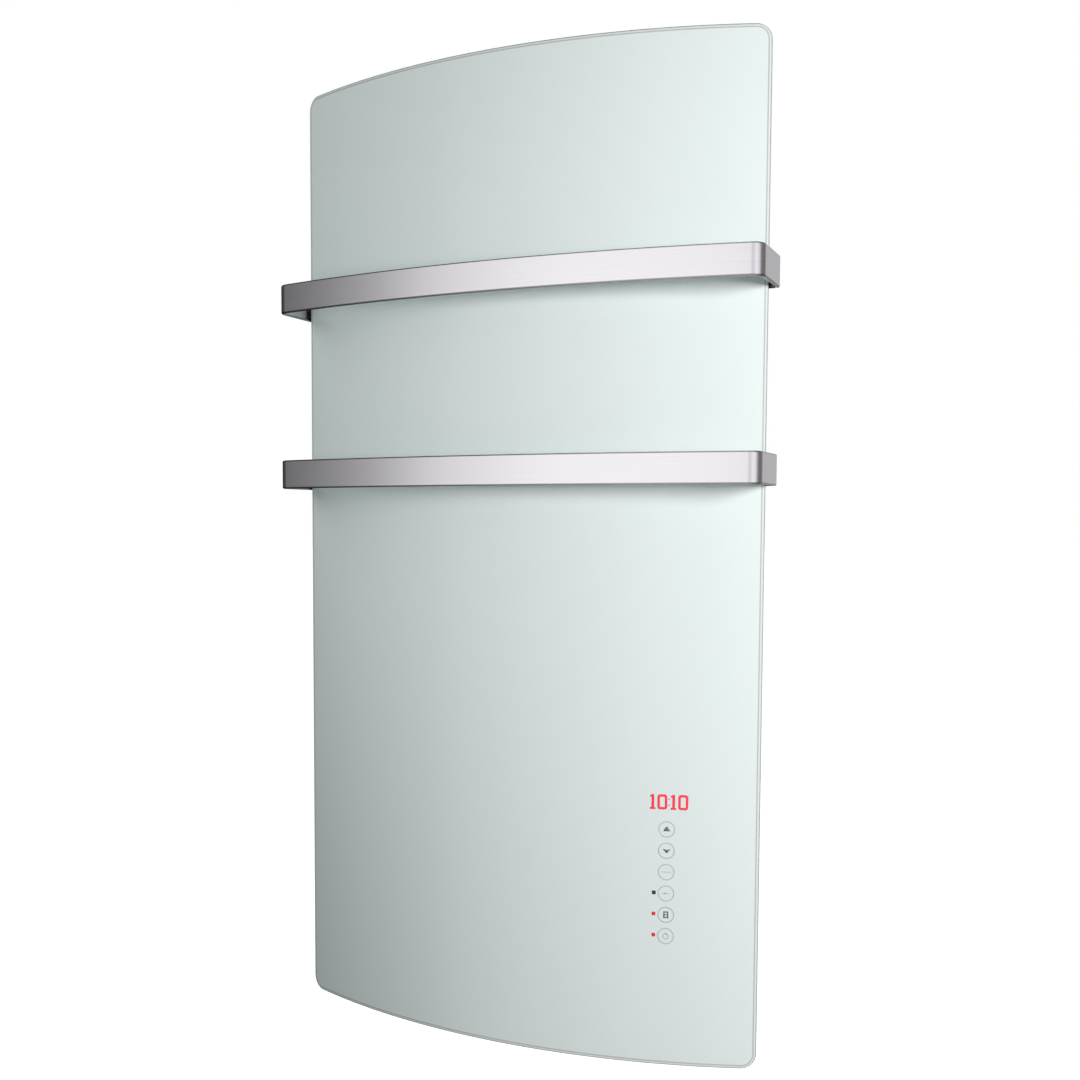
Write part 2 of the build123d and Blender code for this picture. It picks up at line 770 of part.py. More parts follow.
# Display carrier: a plastic frame glued behind the glass, with a lip that the board lies against
carrier_depth = board_depth + board_thickness + carrier_lip
carrier_width = board_width + 2 * (carrier_wall + drop_in_gap)
carrier_height = board_height + 2 * (carrier_wall + drop_in_gap)
carrier_plane = tangent_plane(glass_thickness, control_angle, control_z)
with BuildPart() as display_carrier:
    with BuildSketch(Plane.XY.offset(control_z - carrier_height / 2)):
        with Locations((0, bend_axis_y)):
            Circle(glass_back_radius - glue_gap)
            Circle(glass_back_radius - carrier_depth, mode=Mode.SUBTRACT)
    extrude(amount=carrier_height)
    with BuildSketch(carrier_plane.offset(-carrier_depth)):
        Rectangle(carrier_width, carrier_height)
    extrude(amount=3 * carrier_depth, mode=Mode.INTERSECT)
    with BuildSketch(carrier_plane.offset(-carrier_depth)):
        Rectangle(board_width + 2 * drop_in_gap, board_height + 2 * drop_in_gap)
    extrude(amount=carrier_depth + board_depth + board_thickness, mode=Mode.SUBTRACT)
    with BuildSketch(carrier_plane):
        Rectangle(board_width - 2 * carrier_wall, board_height - 2 * carrier_wall)
    extrude(amount=2 * carrier_depth, mode=Mode.SUBTRACT)
display_carrier.part.label = "display_carrier"
export_step(display_carrier.part, "parts/display_carrier.step")

# Display board, with the clock digits, six touch pads and three indicator lights on its front
with BuildPart() as display_board:
    with BuildSketch(board_face):
        Rectangle(board_width, board_height)
    extrude(amount=board_thickness)
display_board.part.label = "display_board"
export_step(display_board.part, "parts/display_board.step")

with BuildPart() as digit_display:
    with BuildSketch(board_face):
        with Locations((-digits_shift, digits_above_middle)):
            Rectangle(digits_width, digits_height)
    extrude(amount=digits_glass_gap - board_depth)
    chamfer(digit_display.faces().sort_by(Axis.Y)[0].edges(), 0.4)
digit_display.part.label = "digit_display"
export_step(digit_display.part, "parts/digit_display.step")

with BuildPart() as touch_pads:
    with BuildSketch(board_face):
        with Locations(*[(0, z - control_z) for z in field_zs]):
            Circle(field_pad_radius)
    extrude(amount=glue_gap - board_depth)
touch_pads.part.label = "touch_pads"
export_step(touch_pads.part, "parts/touch_pads.step")

with BuildPart() as indicator_leds:
    with BuildSketch(board_face):
        with Locations(*[(indicator_shift, z - control_z) for z in field_zs[-indicator_count:]]):
            Rectangle(indicator_side, indicator_side)
    extrude(amount=2 * glue_gap - board_depth)
indicator_leds.part.label = "indicator_leds"
export_step(indicator_leds.part, "parts/indicator_leds.step")

# Fan housing: two end plates with feet and the curved back wall that turns the air down
with BuildPart() as fan_housing:
    for plate_x in (duct_left_x - end_plate, duct_right_x):
        with BuildSketch(Plane.YZ.offset(plate_x)):
            with Locations((-case_inner_out, duct_bottom_z)):
                Rectangle(
                    duct_front_out - case_inner_out,
                    plate_top_z - duct_bottom_z,
                    align=(Align.MAX, Align.MIN),
                )
        extrude(amount=end_plate)
    fillet(
        fan_housing.edges().filter_by(Axis.X).group_by(Axis.Z)[-1].sort_by(Axis.Y)[:2], bush_radius
    )
    with BuildSketch(Plane.YZ.offset(duct_left_x)):
        with Locations((-fan_out, fan_z)):
            Circle(fan_out - duct_back_out)
            Circle(fan_out - duct_back_out - duct_sheet, mode=Mode.SUBTRACT)
            Rectangle(
                fan_out, fan_out, align=(Align.MIN, Align.MIN), mode=Mode.INTERSECT
            )
        with Locations((-duct_back_out, duct_bottom_z)):
            Rectangle(duct_sheet, fan_z - duct_bottom_z, align=(Align.MAX, Align.MIN))
    extrude(amount=duct_length)
    with BuildSketch(Plane.XZ.offset(case_inner_out)):
        with Locations(*foot_places):
            Rectangle(foot_width, foot_height)
            Circle(m3_radius + screw_hole_gap, mode=Mode.SUBTRACT)
    extrude(amount=duct_sheet)
    with BuildSketch(Plane.YZ.offset(duct_left_x - end_plate)):
        with Locations((-fan_out, fan_z)):
            Circle(bush_radius)
    extrude(amount=duct_length + 2 * end_plate, mode=Mode.SUBTRACT)
    with BuildSketch(Plane.YZ.offset(duct_right_x)):
        with Locations(*post_places):
            Circle(m3_radius + screw_hole_gap)
    extrude(amount=end_plate, mode=Mode.SUBTRACT)
fan_housing.part.label = "fan_housing"
export_step(fan_housing.part, "parts/fan_housing.step")

# Front wall of the duct, with a nose close to the wheel
with BuildPart() as fan_tongue:
    inner_out = duct_front_out - duct_sheet
    nose_out = fan_out + scroll_radius * math.cos(math.radians(tongue_angle))
    nose_z = fan_z - scroll_radius * math.sin(math.radians(tongue_angle))
    bend_z = nose_z - 2 * duct_sheet
    with BuildSketch(Plane.YZ.offset(duct_left_x)):
        Polygon(
            (-inner_out, duct_bottom_z),
            (-duct_front_out, duct_bottom_z),
            (-duct_front_out, bend_z),
            (-nose_out - duct_sheet, nose_z + duct_sheet / 2),
            (-nose_out, nose_z - duct_sheet / 2),
            (-inner_out, bend_z - duct_sheet / 2),
            align=None,
        )
    extrude(amount=duct_length)
fan_tongue.part.label = "fan_tongue"
export_step(fan_tongue.part, "parts/fan_tongue.step")

# Cross-flow wheel: blades between discs, with hubs on a steel shaft
wheel_right_x = fan_left + wheel_length
with BuildPart() as impeller:
    with BuildSketch(Plane.YZ.offset(fan_left)):
        with Locations((-fan_out, fan_z)):
            with PolarLocations(blade_circle, blade_count):
                Rectangle(blade_chord, blade_thickness, rotation=blade_lean)
    extrude(amount=wheel_length)
    for disc_x in (fan_left, fan_left + wheel_length / 2, wheel_right_x - wheel_disc):
        with BuildSketch(Plane.YZ.offset(disc_x)):
            with Locations((-fan_out, fan_z)):
                Circle(wheel_radius)
        extrude(amount=wheel_disc)
    for hub_x in (fan_left, wheel_right_x - hub_length):
        with BuildSketch(Plane.YZ.offset(hub_x)):
            with Locations((-fan_out, fan_z)):
                Circle(hub_radius)
        extrude(amount=hub_length)
    with BuildSketch(Plane.YZ.offset(fan_left)):
        with Locations((-fan_out, fan_z)):
            Circle(shaft_radius)
    extrude(amount=wheel_length, mode=Mode.SUBTRACT)
impeller.part.label = "impeller"
export_step(impeller.part, "parts/impeller.step")

with BuildPart() as fan_shaft:
    with BuildSketch(Plane.YZ.offset(shaft_left_x)):
        with Locations((-fan_out, fan_z)):
            Circle(shaft_radius)
    extrude(amount=shaft_right_x - shaft_left_x)
    chamfer(fan_shaft.faces().filter_by(Axis.X).edges(), 0.4)
fan_shaft.part.label = "fan_shaft"
export_step(fan_shaft.part, "parts/fan_shaft.step")

# Bronze bushes: one in the left end plate and one in each motor bridge
bridge_left_x = core_left_x - bridge_stand_off - bridge_thickness
bridge_right_x = core_right_x + bridge_stand_off
bush_middles = [
    duct_left_x - end_plate / 2,
    bridge_left_x + bridge_thickness / 2,
    bridge_right_x + bridge_thickness / 2,
]
with BuildPart() as shaft_bushes:
    for middle in bush_middles:
        with BuildSketch(Plane.YZ.offset(middle - bush_length / 2)):
            with Locations((-fan_out, fan_z)):
                Circle(bush_radius)
                Circle(shaft_radius + running_gap, mode=Mode.SUBTRACT)
        extrude(amount=bush_length)
shaft_bushes.part.label = "shaft_bushes"
export_step(shaft_bushes.part, "parts/shaft_bushes.step")

# Shaded-pole motor: laminated core with a window, coil on its lower leg, rotor on the fan's shaft
core_bottom_z = fan_z - core_bottom
with BuildPart() as motor_core:
    with BuildSketch(Plane.YZ.offset(core_left_x)):
        with Locations((-fan_out, core_bottom_z)):
            Rectangle(core_width, core_top + core_bottom, align=(Align.CENTER, Align.MIN))
        with Locations((-fan_out, core_bottom_z + core_leg)):
            Rectangle(
                core_window_width,
                core_window_height,
                align=(Align.CENTER, Align.MIN),
                mode=Mode.SUBTRACT,
            )
        with Locations((-fan_out, fan_z)):
            Circle(rotor_radius + rotor_gap, mode=Mode.SUBTRACT)
        with Locations(*post_places):
            Circle(m3_radius + screw_hole_gap, mode=Mode.SUBTRACT)
    extrude(amount=core_depth)
motor_core.part.label = "motor_core"
export_step(motor_core.part, "parts/motor_core.step")

with BuildPart() as motor_coil:
    with BuildSketch(Plane.YZ.offset(core_left_x - coil_overhang)):
        with Locations((-fan_out, core_bottom_z + core_leg / 2)):
            Rectangle(core_window_width - 2 * coil_side_gap, core_leg + 2 * coil_wall)
    extrude(amount=core_depth + 2 * coil_overhang)
    fillet(motor_coil.edges().filter_by(Axis.Y), coil_round)
    with BuildSketch(Plane.YZ.offset(core_left_x)):
        with Locations((-fan_out, core_bottom_z)):
            Rectangle(core_width, core_leg, align=(Align.CENTER, Align.MIN))
    extrude(amount=core_depth, mode=Mode.SUBTRACT)
motor_coil.part.label = "motor_coil"
export_step(motor_coil.part, "parts/motor_coil.step")

with BuildPart() as motor_rotor:
    with BuildSketch(Plane.YZ.offset(core_left_x)):
        with Locations((-fan_out, fan_z)):
            Circle(rotor_radius)
            Circle(shaft_radius, mode=Mode.SUBTRACT)
    extrude(amount=core_depth)
motor_rotor.part.label = "motor_rotor"
export_step(motor_rotor.part, "parts/motor_rotor.step")

with BuildPart() as motor_bridges:
    for bar_x, foot_x in (
        (bridge_left_x, bridge_left_x + bridge_thickness),
        (bridge_right_x, core_right_x),
    ):
        with BuildSketch(Plane.YZ.offset(bar_x)):
            with Locations((-fan_out, fan_z)):
                Rectangle(core_width, bridge_height)
        extrude(amount=bridge_thickness)
        with BuildSketch(Plane.YZ.offset(foot_x)):
            with Locations((-fan_out, fan_z)):
                with GridLocations(core_width - bridge_foot, 0, 2, 1):
                    Rectangle(bridge_foot, bridge_height)
        extrude(amount=bridge_stand_off)
        with BuildSketch(Plane.YZ.offset(bar_x)):
            with Locations((-fan_out, fan_z)):
                Circle(bush_radius)
        extrude(amount=bridge_thickness, mode=Mode.SUBTRACT)
motor_bridges.part.label = "motor_bridges"
export_step(motor_bridges.part, "parts/motor_bridges.step")

# Posts that hold the motor off the right end plate
with BuildPart() as motor_posts:
    with BuildSketch(Plane.YZ.offset(duct_right_x + end_plate)):
        with Locations(*post_places):
            Circle(post_radius)
            Circle(m3_radius + running_gap, mode=Mode.SUBTRACT)
    extrude(amount=motor_stand_off)
motor_posts.part.label = "motor_posts"
export_step(motor_posts.part, "parts/motor_posts.step")

# Screws of the fan: four through its feet and two long ones through the motor
foot_screw_plane = Plane.XZ.offset(case_inner_out + duct_sheet)
foot_screw_length = duct_sheet + 2 * case_steel
motor_screw_length = core_depth + motor_stand_off + end_plate
fan_screws = pan_screws(
    m3_radius,
    [
        (foot_screw_plane, foot_places, foot_screw_length),
        (Plane.YZ.offset(core_right_x), post_places, motor_screw_length),
    ],
)
fan_screws.part.label = "fan_screws"
export_step(fan_screws.part, "parts/fan_screws.step")

# Heater: a frame across the duct, holding a ceramic bar between two rows of fins
with BuildPart() as heater_frame:
    with BuildSketch(Plane.XY.offset(heater_bottom_z)):
        with Locations((duct_left_x + duct_length / 2, -duct_middle_out)):
            Rectangle(duct_length, duct_clear_depth)
            Rectangle(
                duct_length - 2 * heater_frame_end,
                duct_clear_depth - 2 * heater_frame_side,
                mode=Mode.SUBTRACT,
            )
    extrude(amount=heater_height)
heater_frame.part.label = "heater_frame"
export_step(heater_frame.part, "parts/heater_frame.step")

element_length = duct_length - 2 * heater_frame_end
element_depth = duct_clear_depth - 2 * heater_frame_side
with BuildPart() as heater_element:
    with BuildSketch(Plane.XY.offset(heater_bottom_z)):
        with Locations((duct_left_x + duct_length / 2, -duct_middle_out)):
            Rectangle(element_length, heater_core)
            with GridLocations(0, element_depth - heater_shoe, 1, 2):
                Rectangle(element_length, heater_shoe)
            with GridLocations(fin_pitch, 0, fin_count, 1):
                Rectangle(fin_thickness, element_depth - heater_shoe)
    extrude(amount=heater_height)
heater_element.part.label = "heater_element"
export_step(heater_element.part, "parts/heater_element.step")

with BuildPart() as thermal_cutout:
    with BuildSketch(Plane.XY.offset(heater_bottom_z + heater_height)):
        with Locations((duct_left_x, -duct_middle_out)):
            Rectangle(cutout_length, cutout_width, align=(Align.MIN, Align.CENTER))
    extrude(amount=cutout_height)
    fillet(thermal_cutout.edges().filter_by(Axis.Z), 2.0)
thermal_cutout.part.label = "thermal_cutout"
export_step(thermal_cutout.part, "parts/thermal_cutout.step")

# Outlet grille: a slotted plate under the case's floor, with a rim that stands up in the outlet
with BuildPart() as outlet_grille:
    with BuildSketch(Plane.XY.offset(case_floor_z - grille_thickness)):
        with Locations((fan_left + wheel_length / 2, -duct_middle_out)):
            RectangleRounded(
                outlet_width + 2 * grille_lip, outlet_depth + 2 * grille_lip, grille_lip / 2
            )
    extrude(amount=grille_thickness)
    with BuildSketch(Plane.XY.offset(case_floor_z)):
        with Locations((fan_left + wheel_length / 2, -duct_middle_out)):
            Rectangle(outlet_width - 2 * glue_gap, outlet_depth - 2 * glue_gap)
    extrude(amount=case_steel)
    with BuildSketch(Plane.XY.offset(case_floor_z - grille_thickness)):
        with Locations((fan_left + wheel_length / 2, -duct_middle_out)):
            with GridLocations(grille_pitch, 0, grille_slot_count, 1):
                SlotOverall(outlet_depth - grille_lip, grille_slot, rotation=90)
    extrude(amount=grille_thickness + case_steel, mode=Mode.SUBTRACT)
outlet_grille.part.label = "outlet_grille"
export_step(outlet_grille.part, "parts/outlet_grille.step")

# Electronics box on the case's back: tray with lugs and board posts, and a lid
board_post_places = [
    (
        box_x + sx * (power_board_width / 2 - board_screw_inset),
        box_z + sz * (power_board_height / 2 - board_screw_inset),
    )
    for sx in (-1, 1)
    for sz in (-1, 1)
]
with BuildPart() as electronics_base:
    with BuildSketch(Plane.XZ.offset(case_inner_out)):
        with Locations((box_x, box_z)):
            RectangleRounded(box_width, box_height, box_wall)
    extrude(amount=box_depth)
    with BuildSketch(Plane.XZ.offset(case_inner_out + box_wall)):
        with Locations((box_x, box_z)):
            Rectangle(box_width - 2 * box_wall, box_height - 2 * box_wall)
    extrude(amount=box_depth, mode=Mode.SUBTRACT)
    with BuildSketch(Plane.XZ.offset(case_inner_out)):
        with Locations(*box_lug_places):
            Rectangle(box_lug, box_lug)
    extrude(amount=box_wall)
    with BuildSketch(Plane.XZ.offset(case_inner_out)):
        with Locations(*box_lug_places):
            Circle(m3_radius + screw_hole_gap)
    extrude(amount=box_wall, mode=Mode.SUBTRACT)
    with BuildSketch(Plane.XZ.offset(case_inner_out + box_wall)):
        with Locations(*board_post_places):
            Circle(board_post_radius)
    extrude(amount=post_height)
    with BuildSketch(Plane.XZ.offset(case_inner_out + box_wall)):
        with Locations(*board_post_places):
            Circle(m3_radius + running_gap)
    extrude(amount=post_height, mode=Mode.SUBTRACT)
electronics_base.part.label = "electronics_base"
export_step(electronics_base.part, "parts/electronics_base.step")

with BuildPart() as electronics_lid:
    with BuildSketch(Plane.XZ.offset(box_front_out)):
        with Locations((box_x, box_z)):
            RectangleRounded(box_width, box_height, box_wall)
    extrude(amount=box_wall)
    lip_width = box_width - 2 * box_wall - 2 * drop_in_gap
    lip_height = box_height - 2 * box_wall - 2 * drop_in_gap
    with BuildSketch(Plane.XZ.offset(box_front_out)):
        with Locations((box_x, box_z)):
            Rectangle(lip_width, lip_height)
            Rectangle(lip_width - 2 * box_wall, lip_height - 2 * box_wall, mode=Mode.SUBTRACT)
    extrude(amount=-lid_lip)
electronics_lid.part.label = "electronics_lid"
export_step(electronics_lid.part, "parts/electronics_lid.step")

# Power board with its relays, transformer, capacitors and mains terminals
with BuildPart() as power_board:
    with BuildSketch(Plane.XZ.offset(power_board_out)):
        with Locations((box_x, box_z)):
            Rectangle(power_board_width, power_board_height)
        with Locations(*board_post_places):
            Circle(m3_radius + screw_hole_gap, mode=Mode.SUBTRACT)
    extrude(amount=board_thickness)
power_board.part.label = "power_board"
export_step(power_board.part, "parts/power_board.step")

# Screws of the electronics box: two through its lugs and four through the board
component_plane = Plane.XZ.offset(power_board_front_out)
lug_screw_plane = Plane.XZ.offset(case_inner_out + box_wall)
box_screws = pan_screws(
    m3_radius,
    [
        (lug_screw_plane, box_lug_places, box_wall + 2 * case_steel),
        (component_plane, board_post_places, board_screw_length),
    ],
)
box_screws.part.label = "box_screws"
export_step(box_screws.part, "parts/box_screws.step")

relay_pitch = relay_size[0] + 5.0
relay_z = box_z + power_board_height / 2 - 2 * board_screw_inset - relay_size[1]
with BuildPart() as relays:
    with BuildSketch(component_plane):
        with Locations((box_x - relay_pitch / 2, relay_z)):
            with GridLocations(relay_pitch, 0, 2, 1):
                Rectangle(relay_size[0], relay_size[1])
    extrude(amount=relay_size[2])
    fillet(relays.edges().filter_by(Axis.Y), 1.0)
relays.part.label = "relays"
export_step(relays.part, "parts/relays.step")

transformer_x = box_x + box_width / 2 - transformer_core_size[0] - 2 * box_wall
with BuildPart() as transformer:
    with BuildSketch(component_plane):
        with Locations((transformer_x, box_z)):
            Rectangle(transformer_size[0], transformer_size[1])
    extrude(amount=transformer_size[2])
    with BuildSketch(component_plane):
        with Locations((transformer_x, box_z)):
            Rectangle(transformer_core_size[0], transformer_core_size[1])
    extrude(amount=transformer_core_size[2])
transformer.part.label = "transformer"
export_step(transformer.part, "parts/transformer.step")

with BuildPart() as capacitors:
    with BuildSketch(component_plane):
        with Locations((box_x - box_width / 4, box_z)):
            with GridLocations(3 * capacitor_radius, 0, 2, 1):
                Circle(capacitor_radius)
    extrude(amount=capacitor_length)
    fillet(capacitors.faces().filter_by(Axis.Y).group_by(Axis.Y)[0].edges(), 1.0)
capacitors.part.label = "capacitors"
export_step(capacitors.part, "parts/capacitors.step")

terminal_z = box_z - power_board_height / 2 + 2 * board_screw_inset + terminal_size[1] / 2
with BuildPart() as terminal_block:
    with BuildSketch(component_plane):
        with Locations((box_x, terminal_z)):
            Rectangle(terminal_size[0], terminal_size[1])
    extrude(amount=terminal_size[2])
    with BuildSketch(component_plane.offset(terminal_size[2])):
        with Locations((box_x, terminal_z)):
            with GridLocations(terminal_size[0] / terminal_ways, 0, terminal_ways, 1):
                Circle(m4_radius)
    extrude(amount=-terminal_size[2] / 2, mode=Mode.SUBTRACT)
terminal_block.part.label = "terminal_block"
export_step(terminal_block.part, "parts/terminal_block.step")

# Earth stud welded to the case's back, with its nut
with BuildPart() as earth_stud:
    with BuildSketch(Plane.XZ.offset(case_inner_out)):
        with Locations((earth_x, box_z + earth_above_box)):
            Circle(m4_radius)
    extrude(amount=earth_stud_length)
    with BuildSketch(Plane.XZ.offset(case_inner_out)):
        with Locations((earth_x, box_z + earth_above_box)):
            RegularPolygon(2 * m4_radius, 6)
    extrude(amount=earth_stud_length / 3)
earth_stud.part.label = "earth_stud"
export_step(earth_stud.part, "parts/earth_stud.step")

# Mains switch: a body clipped into the case's right side, and a rocker that tips on two pins
cavity_floor_x = rocker_x - rocker_half_length / 2
with BuildPart() as switch_body:
    with BuildSketch(Plane.YZ.offset(switch_wall_x)):
        with Locations((-switch_out, switch_z)):
            RectangleRounded(
                switch_body_width + 2 * switch_bezel_rim,
                switch_body_length + 2 * switch_bezel_rim,
                switch_bezel_rim,
            )
    extrude(amount=switch_bezel)
    with BuildSketch(Plane.YZ.offset(switch_wall_x)):
        with Locations((-switch_out, switch_z)):
            Rectangle(switch_body_width, switch_body_length)
    extrude(amount=-switch_body_depth)
    with BuildSketch(Plane.YZ.offset(cavity_floor_x)):
        with Locations((-switch_out, switch_z)):
            Rectangle(
                switch_body_width - 2 * switch_side_wall, switch_body_length - 2 * switch_end_wall
            )
    extrude(amount=switch_body_depth, mode=Mode.SUBTRACT)
    pin_hole_reach = rocker_half_width + rocker_pin_length + drop_in_gap
    with BuildSketch(Plane.XZ.offset(switch_out - pin_hole_reach)):
        with Locations((rocker_x, switch_z)):
            Circle(rocker_pin_radius + running_gap)
    extrude(amount=2 * pin_hole_reach, mode=Mode.SUBTRACT)
switch_body.part.label = "switch_body"
export_step(switch_body.part, "parts/switch_body.step")

# The rocker's outline is drawn level and turned to its off position
with BuildPart() as switch_rocker:
    with BuildSketch(Plane.XZ.offset(switch_out - rocker_half_width)):
        with Locations((rocker_x, switch_z)):
            Polygon(
                (rocker_edge_height, -rocker_half_length),
                (rocker_valley_height, 0),
                (rocker_edge_height, rocker_half_length),
                (-rocker_end_depth, rocker_half_length),
                (-rocker_depth, rocker_half_length / 3),
                (-rocker_depth, -rocker_half_length / 3),
                (-rocker_end_depth, -rocker_half_length),
                rotation=rocker_tip,
                align=None,
            )
    extrude(amount=2 * rocker_half_width)
    fillet(switch_rocker.edges().filter_by(Axis.Y).sort_by(Axis.X)[-3:], rocker_edge_round)
    pin_reach = rocker_half_width + rocker_pin_length
    with BuildSketch(Plane.XZ.offset(switch_out - pin_reach)):
        with Locations((rocker_x, switch_z)):
            Circle(rocker_pin_radius)
    extrude(amount=2 * pin_reach)
switch_rocker.part.label = "switch_rocker"
export_step(switch_rocker.part, "parts/switch_rocker.step")

# Cable gland in the floor, with its lock nut inside
with BuildPart() as cable_gland:
    with BuildSketch(Plane.XY.offset(case_floor_z)):
        with Locations((gland_x, -gland_out)):
            Circle(gland_thread_radius)
    extrude(amount=gland_thread_length)
    with BuildSketch(Plane.XY.offset(case_floor_z)):
        with Locations((gland_x, -gland_out)):
            RegularPolygon(gland_hex_radius, 6)
    extrude(amount=-gland_hex_height)
    with BuildSketch(Plane.XY.offset(case_floor_z - gland_hex_height)):
        with Locations((gland_x, -gland_out)):
            Circle(gland_cap_radius)
    extrude(amount=-gland_cap_height)
    fillet(cable_gland.faces().sort_by(Axis.Z)[0].edges(), gland_cap_height / 3)
    with BuildSketch(Plane.XY.offset(case_floor_z + gland_thread_length)):
        with Locations((gland_x, -gland_out)):
            Circle(gland_bore_radius)
    extrude(
        amount=-gland_thread_length - gland_hex_height - gland_cap_height, mode=Mode.SUBTRACT
    )
cable_gland.part.label = "cable_gland"
export_step(cable_gland.part, "parts/cable_gland.step")

with BuildPart() as gland_nut:
    with BuildSketch(Plane.XY.offset(case_floor_top_z)):
        with Locations((gland_x, -gland_out)):
            RegularPolygon(gland_hex_radius, 6)
            Circle(gland_thread_radius, mode=Mode.SUBTRACT)
    extrude(amount=gland_nut_height)
gland_nut.part.label = "gland_nut"
export_step(gland_nut.part, "parts/gland_nut.step")

# Room sensor in a rubber clip in the floor
clip_radius = sensor_radius + clip_wall
with BuildPart() as sensor_clip:
    with BuildSketch(Plane.XY.offset(case_floor_z - clip_flange_height)):
        with Locations((sensor_x, -fan_out)):
            Circle(clip_radius + clip_flange)
    extrude(amount=clip_flange_height)
    with BuildSketch(Plane.XY.offset(case_floor_z)):
        with Locations((sensor_x, -fan_out)):
            Circle(clip_radius)
    extrude(amount=case_steel)
    with BuildSketch(Plane.XY.offset(case_floor_top_z)):
        with Locations((sensor_x, -fan_out)):
            Circle(clip_radius + clip_flange)
    extrude(amount=clip_flange_height)
    with BuildSketch(Plane.XY.offset(case_floor_z - clip_flange_height)):
        with Locations((sensor_x, -fan_out)):
            Circle(sensor_radius)
    extrude(amount=2 * clip_flange_height + case_steel, mode=Mode.SUBTRACT)
sensor_clip.part.label = "sensor_clip"
export_step(sensor_clip.part, "parts/sensor_clip.step")

with BuildPart() as room_sensor:
    with BuildSketch(Plane.XY.offset(case_floor_z - sensor_below)):
        with Locations((sensor_x, -fan_out)):
            Circle(sensor_radius)
    extrude(amount=sensor_length)
    fillet(room_sensor.faces().sort_by(Axis.Z)[0].edges(), 0.6 * sensor_radius)
room_sensor.part.label = "room_sensor"
export_step(room_sensor.part, "parts/room_sensor.step")

# Leads to the electronics box from the fan heater, the foil's thermostat, the motor and the switch
box_bottom_z = box_z - box_height / 2
box_top_z = box_z + box_height / 2
box_right_x = box_x + box_width / 2
heater_lead_z = heater_bottom_z + heater_height / 2
heater_lead_x = duct_left_x - end_plate - 2 * lead_bend
thermostat_back = thermostat_plane.offset(2 * glue_gap + thermostat_height).origin
heater_leads = leads(
    [
        (duct_left_x - end_plate, -lead_out, heater_lead_z),
        (heater_lead_x, -lead_out, heater_lead_z),
        (heater_lead_x, -lead_out, box_bottom_z),
    ],
    [
        (thermostat_back.X, thermostat_back.Y, thermostat_back.Z),
        (thermostat_back.X, -lead_out, thermostat_back.Z),
        (thermostat_back.X, -lead_out, box_top_z),
    ],
)
heater_leads.part.label = "heater_leads"
export_step(heater_leads.part, "parts/heater_leads.step")

coil_z = core_bottom_z + core_leg / 2
motor_lead_x = shaft_right_x + 2 * lead_bend
motor_lead_z = plate_top_z + 2 * lead_bend
fan_leads = leads(
    [
        (core_right_x + coil_overhang, -lead_out, coil_z),
        (motor_lead_x, -lead_out, coil_z),
        (motor_lead_x, -lead_out, motor_lead_z),
        (box_x, -lead_out, motor_lead_z),
        (box_x, -lead_out, box_bottom_z),
    ]
)
fan_leads.part.label = "fan_leads"
export_step(fan_leads.part, "parts/fan_leads.step")

switch_back_x = switch_wall_x - switch_body_depth
switch_lead_x = switch_back_x - 2 * lead_bend
switch_lead_z = box_top_z - 2 * lead_bend
switch_leads = leads(
    [
        (switch_back_x, -lead_out, switch_z),
        (switch_lead_x, -lead_out, switch_z),
        (switch_lead_x, -lead_out, switch_lead_z),
        (box_right_x, -lead_out, switch_lead_z),
    ]
)
switch_leads.part.label = "switch_leads"
export_step(switch_leads.part, "parts/switch_leads.step")

# Flat ribbon from the display board to the electronics box
ribbon_start = board_face.offset(board_thickness).origin
with BuildPart() as display_ribbon:
    with BuildSketch(Plane.XY.offset(ribbon_z - ribbon_width / 2)):
        with BuildLine():
            FilletPolyline(
                (ribbon_x, ribbon_start.Y + glue_gap),
                (ribbon_x, -lead_out),
                (box_right_x, -lead_out),
                radius=ribbon_bend,
            )
            offset(amount=ribbon_thickness, side=Side.LEFT)
        make_face()
    extrude(amount=ribbon_width)
display_ribbon.part.label = "display_ribbon"
export_step(display_ribbon.part, "parts/display_ribbon.step")
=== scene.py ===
import math

import bmesh
import bpy
from mathutils import Matrix, Vector


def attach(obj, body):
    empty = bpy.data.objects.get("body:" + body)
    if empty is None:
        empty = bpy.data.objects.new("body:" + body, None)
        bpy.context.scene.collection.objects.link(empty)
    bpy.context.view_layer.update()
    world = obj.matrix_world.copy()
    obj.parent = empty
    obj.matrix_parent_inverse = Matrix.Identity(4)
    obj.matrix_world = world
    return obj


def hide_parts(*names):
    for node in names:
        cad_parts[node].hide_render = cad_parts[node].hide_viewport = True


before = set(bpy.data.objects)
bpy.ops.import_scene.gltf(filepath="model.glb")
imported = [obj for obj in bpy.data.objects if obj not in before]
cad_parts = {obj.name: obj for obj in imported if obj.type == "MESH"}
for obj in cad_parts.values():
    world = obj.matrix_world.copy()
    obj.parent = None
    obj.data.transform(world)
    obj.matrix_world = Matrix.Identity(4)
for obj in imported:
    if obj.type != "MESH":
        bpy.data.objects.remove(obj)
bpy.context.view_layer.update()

# Studio. A pale floor well below the radiator, one strong soft lamp on the right and two weak ones
# on the left, and a room that is bright in front and on the right and darker on the left. The
# camera stands 1.3 m away, right of the middle and a little above it.
scene = bpy.context.scene
scene.view_settings.view_transform = "Standard"


def wire(tree, kind, inputs=None, **settings):
    """A shader node with its settings, its plain values and the sockets that feed it."""
    node = tree.nodes.new("ShaderNode" + kind)
    for key, value in settings.items():
        setattr(node, key, value)
    for slot, value in (inputs or {}).items():
        if isinstance(value, bpy.types.NodeSocket):
            tree.links.new(value, node.inputs[slot])
        else:
            node.inputs[slot].default_value = value
    return node


def sum_of(tree, work, *values):
    """One step of arithmetic on numbers or sockets."""
    return wire(tree, "Math", dict(enumerate(values)), operation=work).outputs[0]


